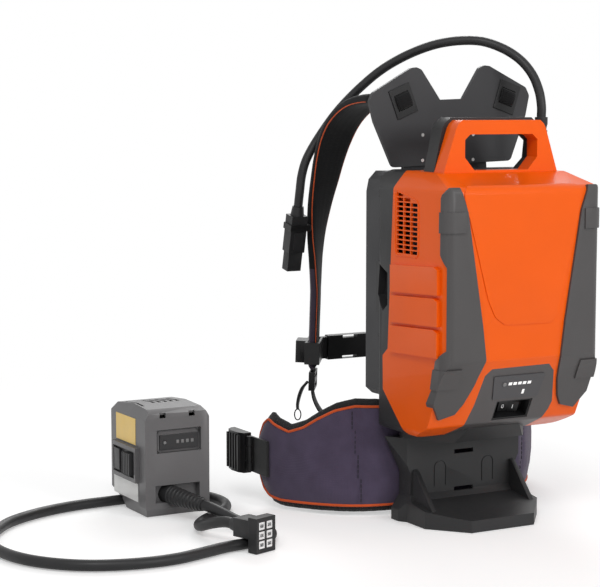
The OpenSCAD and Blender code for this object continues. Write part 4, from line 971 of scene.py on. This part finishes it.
def pad_place(u, v):
    """The pad behind the cover, thick and soft-edged"""
    k = round(u * belt_count)
    low, top = belt_edges(k)
    half = max((top - low) / 2, least_half)
    h, n = oval(v, half, 1, 0.8, 0.6)
    fuzz = 0.0007 * math.sin(k * 2.3 + h * 900) * math.sin(k * 0.7)
    return belt_point(k, pad_middle + n * pad_thick + fuzz, (low + top) / 2 + h)


belt_pad = finished(skin(belt_count, 36, pad_place, belt_length, 0.28), "belt_pad",
                    pad_mesh, "pack", "belt_fabric", 70)
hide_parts("hip_belt", "hip_wing_left", "hip_wing_right")
print("pad faces:", len(belt_pad.data.polygons))

# %% [markdown]
# ## The belt's piping
# An orange piping is sewn all round the cover's edge. It is one closed cord: it goes along the
# top edge from one hip to the other and comes back along the bottom edge.

# %% Sew on the piping
piping_inset = 0.0056
top_line = [belt_point(k, piping_inset, belt_edges(k)[1] - cover_top)
            for k in range(belt_count + 1)]
low_line = [belt_point(k, piping_inset, belt_edges(k)[0] + cover_low)
            for k in range(belt_count + 1)]
finished(tube(top_line + low_line[::-1], 0.0017, 10, (0.02, 1, 0.03), 420), "belt_piping",
         piping_cloth, "pack", "belt_fabric", 70)
print("piping:", round(line_length(top_line), 3), "m along the top edge")

# %% [markdown]
# ## The seams' stitches
# The wings are sewn on with rows of thick stitches that lean over the seams. A stitch is a
# short cord that dips into the cloth at both ends.

# %% Sew the stitches
stitch_count, stitch_share = 19, 0.36
stitch_x, stitch_lean, stitch_margin = 0.115, 0.012, 0.004
stitches = []
for side in (-1, 1):
    for k in range(stitch_count):
        t = (k + 0.5) / stitch_count
        x = side * (stitch_x + stitch_lean * t)
        spot = min(range(belt_count + 1), key=lambda j: abs(belt_line[j].x - x))
        low, top = belt_edges(spot)
        low, top = low + cover_low + stitch_margin, top - cover_top - stitch_margin
        z = low + (top - low) * t
        half = (top - low) / stitch_count * stitch_share
        stitches.append(tube([belt_point(spot, 0.0016, z - half), belt_point(spot, 0.0010, z),
                              belt_point(spot, 0.0016, z + half)], 0.00055, 6, (1, 0, 0)))
joined(stitches, "belt_stitches", thread_black, "belt_fabric")
print("stitches:", len(stitches))

# %% [markdown]
# ## Back pads
# Two long pads on the frame keep the battery off the wearer's back. They are foam under open
# knit, sewn across into channels. Each is drawn as a crowned form in the place of its CAD
# solid, and its thickness dips at every channel and falls away at its two ends.

# %% Make the back pads
pad_x0, pad_x1 = 0.010, 0.064
channels, channel_dip, channel_width = (0.17, 0.34, 0.5, 0.66, 0.83), 0.22, 0.012
pads_low, pads_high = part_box("back_pads")
pad_length = pads_high.z - pads_low.z


def back_pad(side):
    """One crowned pad with its channels"""
    def place(u, v):
        h, n = oval(v, 1, 1, 0.35, 0.5)
        t = 2 * u - 1
        ends = (1 - abs(t) ** 10) ** 0.5
        dips = sum(math.exp(-((u - c) / channel_width) ** 2) for c in channels)
        thick = (pads_high.y - pads_low.y) * (0.35 + 0.65 * ends) * (1 - channel_dip * dips)
        y = pads_low.y + (thick if n > 0 else 0) * (abs(n) * 2) ** 0.6 * (1 - 0.12 * h * h)
        x = (pad_x0 + pad_x1) / 2 + (pad_x1 - pad_x0) / 2 * h * (0.93 + 0.07 * ends)
        return Vector((side * x, y, pads_low.z + pad_length * u))

    return skin(110, 30, place, pad_length, 0.14)


back_cushions = joined([back_pad(-1), back_pad(1)], "back_cushions", pad_mesh, "black_foam")
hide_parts("back_pads")
print("back pads:", len(back_cushions.data.polygons), "faces")

# %% [markdown]
# ## The marks on the switch
# Small things make a moulding look real. The switch has a ring for off and a bar for on, white on
# its dished face. Each is a thin cord set a little into the face, whose tilt and dish are worked
# out as on the CAD rocker. Their white has a faint emission, a painted glow that makes them shine
# as if lit.

# %% Print the marks on the switch
slope = math.atan2(22, 47)
console_y, console_z = -60, 140
pin_x, pin_y, pin_z, rocker_tilt = 11, 18, -3.5, math.radians(-8)
face_y, face_dish, face_half = -8.1, 2.5, 13


def on_console(x, y, z):
    """A place on the sloping console: y inwards and z up the slope, in millimetres"""
    return mm(x, console_y + y * math.cos(slope) - z * math.sin(slope),
              console_z + y * math.sin(slope) + z * math.cos(slope))


def on_rocker(x, z):
    """A place on the rocker's dished face, which is tilted about its pin"""
    y = face_y + face_dish * (1 - abs(x) / face_half)
    return on_console(pin_x + x * math.cos(rocker_tilt) - y * math.sin(rocker_tilt),
                      pin_y + x * math.sin(rocker_tilt) + y * math.cos(rocker_tilt), z + pin_z)


inwards = (0, math.cos(slope), math.sin(slope))
ring = [on_rocker(-6.5 + 1.5 * math.cos(t), 2.3 * math.sin(t))
        for t in np.linspace(0, 2 * math.pi, 24, endpoint=False)]
bar = [on_rocker(6.5, z) for z in (-2.4, -1, 1, 2.4)]
# the marks' white glows faintly: painted light on printed marks
rocker_marks = joined([tube(ring, 0.0003, 6, inwards, 24), tube(bar, 0.00035, 6, inwards)],
                      "rocker_marks", glowing_white, "white_lamp", "rocker")
print("marks:", len(rocker_marks.data.polygons), "faces on the rocker")

# %% [markdown]
# ## The rims of the vent grilles
# The grille on each side has a raised rim. Its outline is drawn from four corners, and each
# corner is cut off by a few millimetres.

# %% Add the grille rims
def outline(corners, cut):
    """An outline whose corners are cut off at this distance"""
    points = []
    for k, corner in enumerate(corners):
        for other in (corners[k - 1], corners[(k + 1) % len(corners)]):
            points.append(corner + (other - corner).normalized() * cut)
    return points


rims = []
for side in (-1, 1):
    corners = [mm(side * 104, y, z) for y, z in
               ((-33.5, 317), (15.5, 317), (15.5, 391.5), (-33.5, 380.5))]
    rims.append(tube(outline(corners, 0.004), 0.0009, 8, (1, 0, 0), 160))
joined(rims, "grille_rims", shell_orange, "orange_shell")
print("grille rims:", len(rims))

# %% [markdown]
# ## The adapter's window
# The adapter shows its charge by four grey bars in a dark window. The window's rim is made like
# the grille's, and a bar is a small block with softened edges, because a lit bar is a little lens.

# %% Add the window's rim and bars
window_x, first_bar_x, bar_step, bar_count = -300, -298.5, 6.4, 4
window = [mm(window_x + x, 188.6, z) for x, z in
          ((-26.5, 77.5), (30.5, 77.5), (30.5, 104.5), (-26.5, 104.5))]
window_rim = tube(outline(window, 0.003), 0.0007, 8, (0, 1, 0), 120)
finished(window_rim, "adapter_window_rim", adapter_dark, "adapter", "adapter_dark", 60)
bars = []
for k in range(bar_count):
    block = bmesh.new()
    bmesh.ops.create_cube(block, size=1)
    bmesh.ops.scale(block, verts=block.verts, vec=(0.0036, 0.0008, 0.0042))
    bmesh.ops.translate(block, verts=block.verts, vec=mm(first_bar_x + bar_step * k, 190.9, 89))
    bmesh.ops.bevel(block, geom=block.edges, affect="EDGES", offset=0.0003, segments=2,
                    profile=0.5, material=-1)
    bars.append(block)
joined(bars, "adapter_bars", key_grey, "button_grey", "adapter")
print("window bars:", len(bars))

# %% [markdown]
# ## Webbing at the loops
# Each strap is held by a short turn of webbing that goes through the two slots of its loop and
# round the bar between them. The turn's path is drawn once and leaned over as each loop is.

# %% Thread the loops
yoke_x, yoke_z, yoke_tilt = 4, 495, math.radians(2)
loop_x, loop_shift, loop_lean = 74, 6, 20
turn_steps = 44
turn_path = [(7.5, 76), (7.5, 70), (7.4, 64), (6.4, 61.4), (4, 60.6), (0, 60.4), (-4, 60.6),
             (-6.4, 61.4), (-7.4, 64), (-7.5, 70), (-7.5, 76)]


def loop_turn(side):
    """The turn of webbing at one strap's loop"""
    x = side * loop_x + loop_shift
    centre = mm(yoke_x + x * math.cos(yoke_tilt), 0, yoke_z + x * math.sin(yoke_tilt))
    lean = math.radians(side * loop_lean) - yoke_tilt
    line = even([centre + mm(v * math.sin(lean), y, v * math.cos(lean)) for v, y in turn_path],
                turn_steps)
    across = Vector((math.cos(lean), 0, -math.sin(lean)))

    def place(u, v):
        k = round(u * turn_steps)
        ahead = (line[min(k + 1, turn_steps)] - line[max(k - 1, 0)]).normalized()
        w, n = oval(v, 0.0097, 0.0036, 0.2, 0.5)
        return line[k] + across * w + ahead.cross(across) * n

    return skin(turn_steps, 16, place, 0.06, 0.04)


loop_webbing = joined([loop_turn(-1), loop_turn(1)], "loop_webbing", web_cloth)
print("loop webbing faces:", len(loop_webbing.data.polygons))

# %% [markdown]
# ## Pull tabs
# Under the padded strap, a tab with a cord loop hangs from the ladder buckle, for pulling the
# webbing tight. The tab is a short ribbon that narrows downwards, and the loop is a round cord
# at its end.

# %% Hang the pull tabs
tab_rows = [(98, 232, 140, 9, 40), (103, 236, 132, 10, 40), (107, 237, 122, 10, 44),
            (110, 236, 112, 8, 48), (111, 234, 106, 6, 50)]
loop_height = 7


def pull_tab(tab):
    """The tab as a thin, soft-edged skin along its ribbon"""
    def place(u, v):
        k = round(u * tab.count)
        return tab.point(k, *oval(v, tab.width[k] / 2, 0.0034, 0.5, 0.6))

    return skin(tab.count, 16, place, tab.length, 0.026)


tabs, loops = [], []
for side in (-1, 1):
    tab = Ribbon(tab_rows, side, 24)
    tabs.append(pull_tab(tab))
    hang = [tab.point(tab.count, 0, 0) + mm(side * 3.5 * math.sin(t), 2 * math.sin(t),
                                            -loop_height + loop_height * math.cos(t))
            for t in np.linspace(0, 2 * math.pi, 20, endpoint=False)]
    loops.append(tube(hang, 0.0008, 8, (0.4, -0.7, 0.1), 24))
joined(tabs, "pull_tabs", black_plastic, "black_plastic")
joined(loops, "pull_loops", web_cloth)
print("pull tabs:", len(tabs))

# %% [markdown]
# ## The stickers
# Two bare stickers are stuck to the adapter's left side, one yellow and one white. They are one
# node in the CAD model, so each is cut out of a copy of it by its height.

# %% Make the stickers
sticker_gap = 0.06


def sticker(name, finish, keep):
    """One sticker: the node's points whose height is one to keep"""
    bm = merged("adapter_labels")
    spare = [v for v in bm.verts if not keep(v.co.z)]
    bmesh.ops.delete(bm, geom=spare, context="VERTS")
    return rounded(finished(bm, name, finish, "adapter", "sticker", outward=False), 0.15)


yellow_sticker = sticker("yellow_sticker", sticker_yellow, lambda z: z > sticker_gap)
sticker("white_sticker", sticker_white, lambda z: z < sticker_gap)
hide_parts("adapter_labels")

# %% [markdown]
# ## The end
# The dressed object's box is set beside the CAD model's, so that the two can be compared.

# %% Measure and finish
low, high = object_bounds()
{"cad": [list(cad_low), list(cad_high)], "visual": [list(low), list(high)]}
print("visual box:", [round(c, 3) for c in (*low, *high)])
